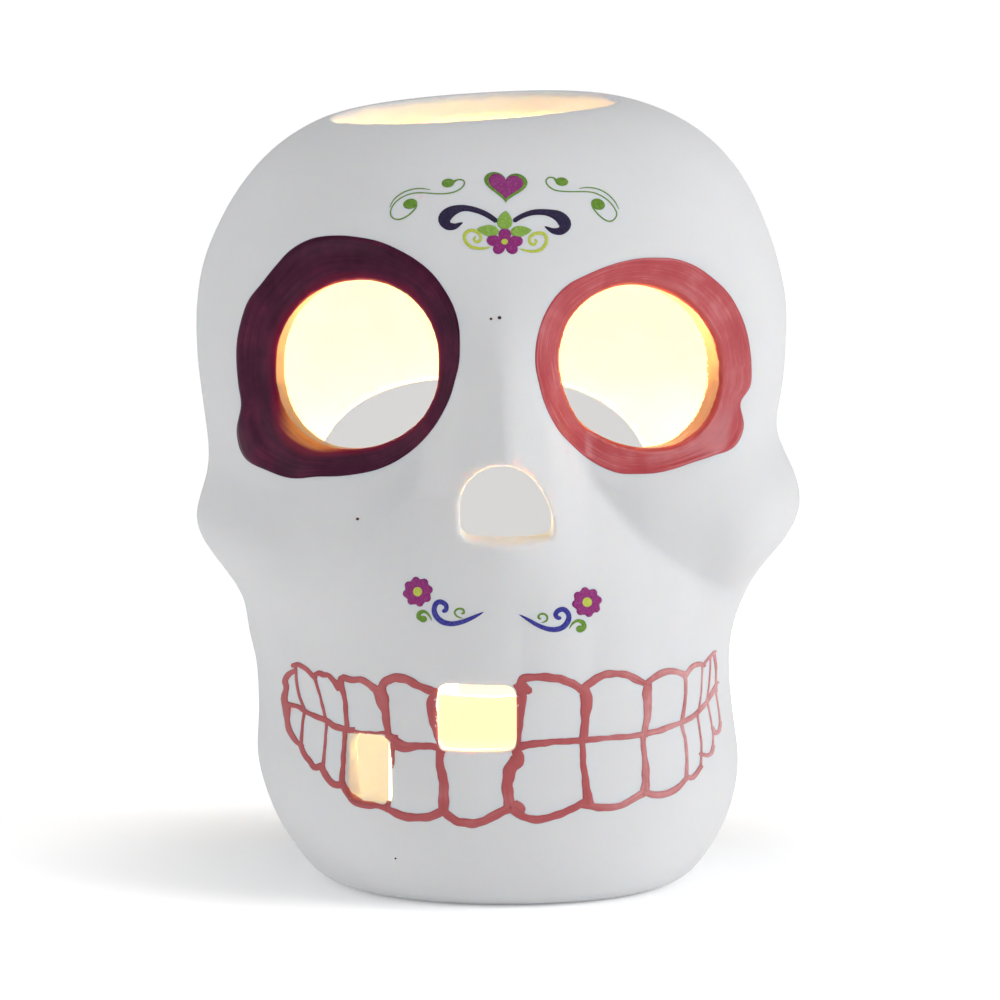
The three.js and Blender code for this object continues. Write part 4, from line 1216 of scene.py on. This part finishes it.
# the cup's painted glow fills the lower inside of the skull with light
dress(cup, mouldedFinish("polypropylene, moulded white, painted glow", *milky, 0.58))
dress(nodes["flame_lens"], flameFinish())
# the diode's dome gives off its own light
dress(nodes["led"], mouldedFinish("epoxy dome, cast, lit", "#f3e3b4", "#e6cf92", 0.2, 6))
finishes = {
    "base_plate": whitePlastic, "battery_cap": whitePlastic, "switch_slider": blackPlastic,
    "switch_body": blackPlastic, "circuit_board": solderMask, "led_lead_anode": tinned,
    "led_lead_cathode": tinned, "board_screw_left": plated, "board_screw_right": plated,
    "contact_positive": nickel, "contact_negative": nickel, "coin_cell": drawnSteel,
}
for name, finish in finishes.items():
    dress(nodes[name], finish)
print("finishes:", len(bpy.data.materials))


# Stage: a white table under a big soft box on the right
stage = {
    "size": 4, "fill": 0.23, "bounce": 0.125, "seen": "#c0c0c0",
    "nearLift": 0.16, "nearFrom": 0.05, "nearTo": 0.1, "farLift": 0.45, "farFrom": 0.3, "farTo": 1.5,
    # the painted shadow behind the skull: its grey, its half width, its soft edge, and where it starts
    # and ends
    "paintedShadow": "#d8d7d5", "shadowWidth": 0.04, "shadowFade": 0.01, "shadowFrom": 0.28, "shadowTo": 0.68,
}
lamps = [
    {"name": "key", "bearing": 65, "elevation": 18, "power": 11.4},
    {"name": "left", "bearing": -65, "elevation": 15, "power": 5.8},
    {"name": "rim", "bearing": -125, "elevation": 20, "power": 0.6},
    {"name": "top", "bearing": 0, "elevation": 85, "power": 4.75},
]
lampBox = {"aim": (0, 0, 0.07), "distance": 1.4, "size": 0.9}  # the same for every lamp


# The paper is lifted to white where it is seen; behind the skull a painted shadow keeps it grey, as the
# holes show it.
def makeFloor():
    bm = bmesh.new()
    bmesh.ops.create_grid(bm, x_segments=1, y_segments=1, size=stage["size"])
    floor = newObject("floor", bm)
    material = newMaterial("white paper sweep")
    add = partial(addNode, material)
    path = add("ShaderNodeLightPath")
    seen = add("ShaderNodeMath",
               {0: path.outputs["Is Camera Ray"], 1: path.outputs["Is Glossy Ray"]}, operation="MAXIMUM")
    seenToo = add("ShaderNodeMath",
                  {0: seen, 1: path.outputs["Is Transmission Ray"]}, operation="MAXIMUM")
    paper = add("ShaderNodeBsdfDiffuse", {"Color": linear("#fafafa")})
    spot = add("ShaderNodeTexCoord").outputs["Object"]
    away = add("ShaderNodeVectorMath", {0: spot}, operation="LENGTH").outputs["Value"]
    nearLift = add("ShaderNodeMapRange",
                   {"Value": away, "From Min": stage["nearFrom"], "From Max": stage["nearTo"],
                    "To Max": stage["nearLift"]}, **soft)
    farLift = add("ShaderNodeMapRange",
                  {"Value": away, "From Min": stage["farFrom"], "From Max": stage["farTo"],
                   "To Max": stage["farLift"]})
    lifted = add("ShaderNodeMath", {0: nearLift, 1: farLift}, operation="ADD")
    lift = add("ShaderNodeEmission", {"Strength": lifted})
    brighter = add("ShaderNodeBsdfDiffuse", {"Color": linear(stage["seen"])})
    bounce = add("ShaderNodeEmission", {"Strength": stage["bounce"]})
    lit = add("ShaderNodeAddShader", {0: paper, 1: brighter})
    bright = add("ShaderNodeAddShader", {0: lit, 1: lift})
    # painted shadow: a soft grey strip straight behind the skull, seen only through its holes
    place = add("ShaderNodeSeparateXYZ", {"Vector": spot})
    skewed = add("ShaderNodeMath",
                 {0: place.outputs["Y"], 1: math.tan(azimuth), 2: place.outputs["X"]},
                 operation="MULTIPLY_ADD")
    aside = add("ShaderNodeMath", {0: skewed}, operation="ABSOLUTE")
    width, fade = stage["shadowWidth"], stage["shadowFade"]
    near, far = stage["shadowFrom"], stage["shadowTo"]
    inside = add("ShaderNodeMapRange",
                 {"Value": aside, "From Min": width, "From Max": width + fade, **falling}, **soft)
    past = add("ShaderNodeMapRange",
               {"Value": place.outputs["Y"], "From Min": near - 2 * fade, "From Max": near}, **soft)
    short = add("ShaderNodeMapRange",
                {"Value": place.outputs["Y"], "From Min": far, "From Max": far + 2 * fade, **falling},
                **soft)
    strip = add("ShaderNodeMath", {0: past, 1: short}, operation="MULTIPLY")
    shadowPatch = add("ShaderNodeMath", {0: strip, 1: inside}, operation="MULTIPLY")
    paintedShadow = add("ShaderNodeEmission", {"Color": linear(stage["paintedShadow"]), "Strength": 1})
    plain = add("ShaderNodeAddShader", {0: paper, 1: bounce})
    shaded = add("ShaderNodeMixShader", {"Fac": shadowPatch, 1: bright, 2: paintedShadow})
    above = add("ShaderNodeMixShader", {"Fac": seenToo, 1: plain, 2: shaded})
    # seen from below the table is clear, so that the underside can be looked at
    side = add("ShaderNodeNewGeometry")
    clear = add("ShaderNodeBsdfTransparent")
    table = add("ShaderNodeMixShader", {"Fac": side.outputs["Backfacing"], 1: above, 2: clear})
    finishWith(material, table)
    dress(floor, material)


# The room is white to the eye and lights the skull from all round, more weakly.
def makeWorld():
    world = bpy.data.worlds.new("studio")
    scene.world = world
    world.use_nodes = True
    world.node_tree.nodes.clear()
    add = partial(addNode, world)
    path = add("ShaderNodeLightPath")
    whiteLight = (1, 1, 1, 1)
    fill = add("ShaderNodeBackground", {"Color": whiteLight, "Strength": stage["fill"]})
    seen = add("ShaderNodeBackground", {"Color": whiteLight, "Strength": 1})
    room = add("ShaderNodeMixShader", {"Fac": path.outputs["Is Camera Ray"], 1: fill, 2: seen})
    add("ShaderNodeOutputWorld", {"Surface": room})


def addLamp(lamp):
    data = bpy.data.lights.new(lamp["name"], "AREA")
    data.shape = "DISK"
    data.size = lampBox["size"]
    data.energy = lamp["power"]
    out = pointing(math.radians(lamp["bearing"]), math.radians(lamp["elevation"]))
    light = bpy.data.objects.new(lamp["name"], data)
    light.location = Vector(lampBox["aim"]) + out * lampBox["distance"]
    light.rotation_euler = (-out).to_track_quat("-Z", "Y").to_euler()
    scene.collection.objects.link(light)


makeFloor()
makeWorld()
for lamp in lamps:
    addLamp(lamp)
print("stage is set")
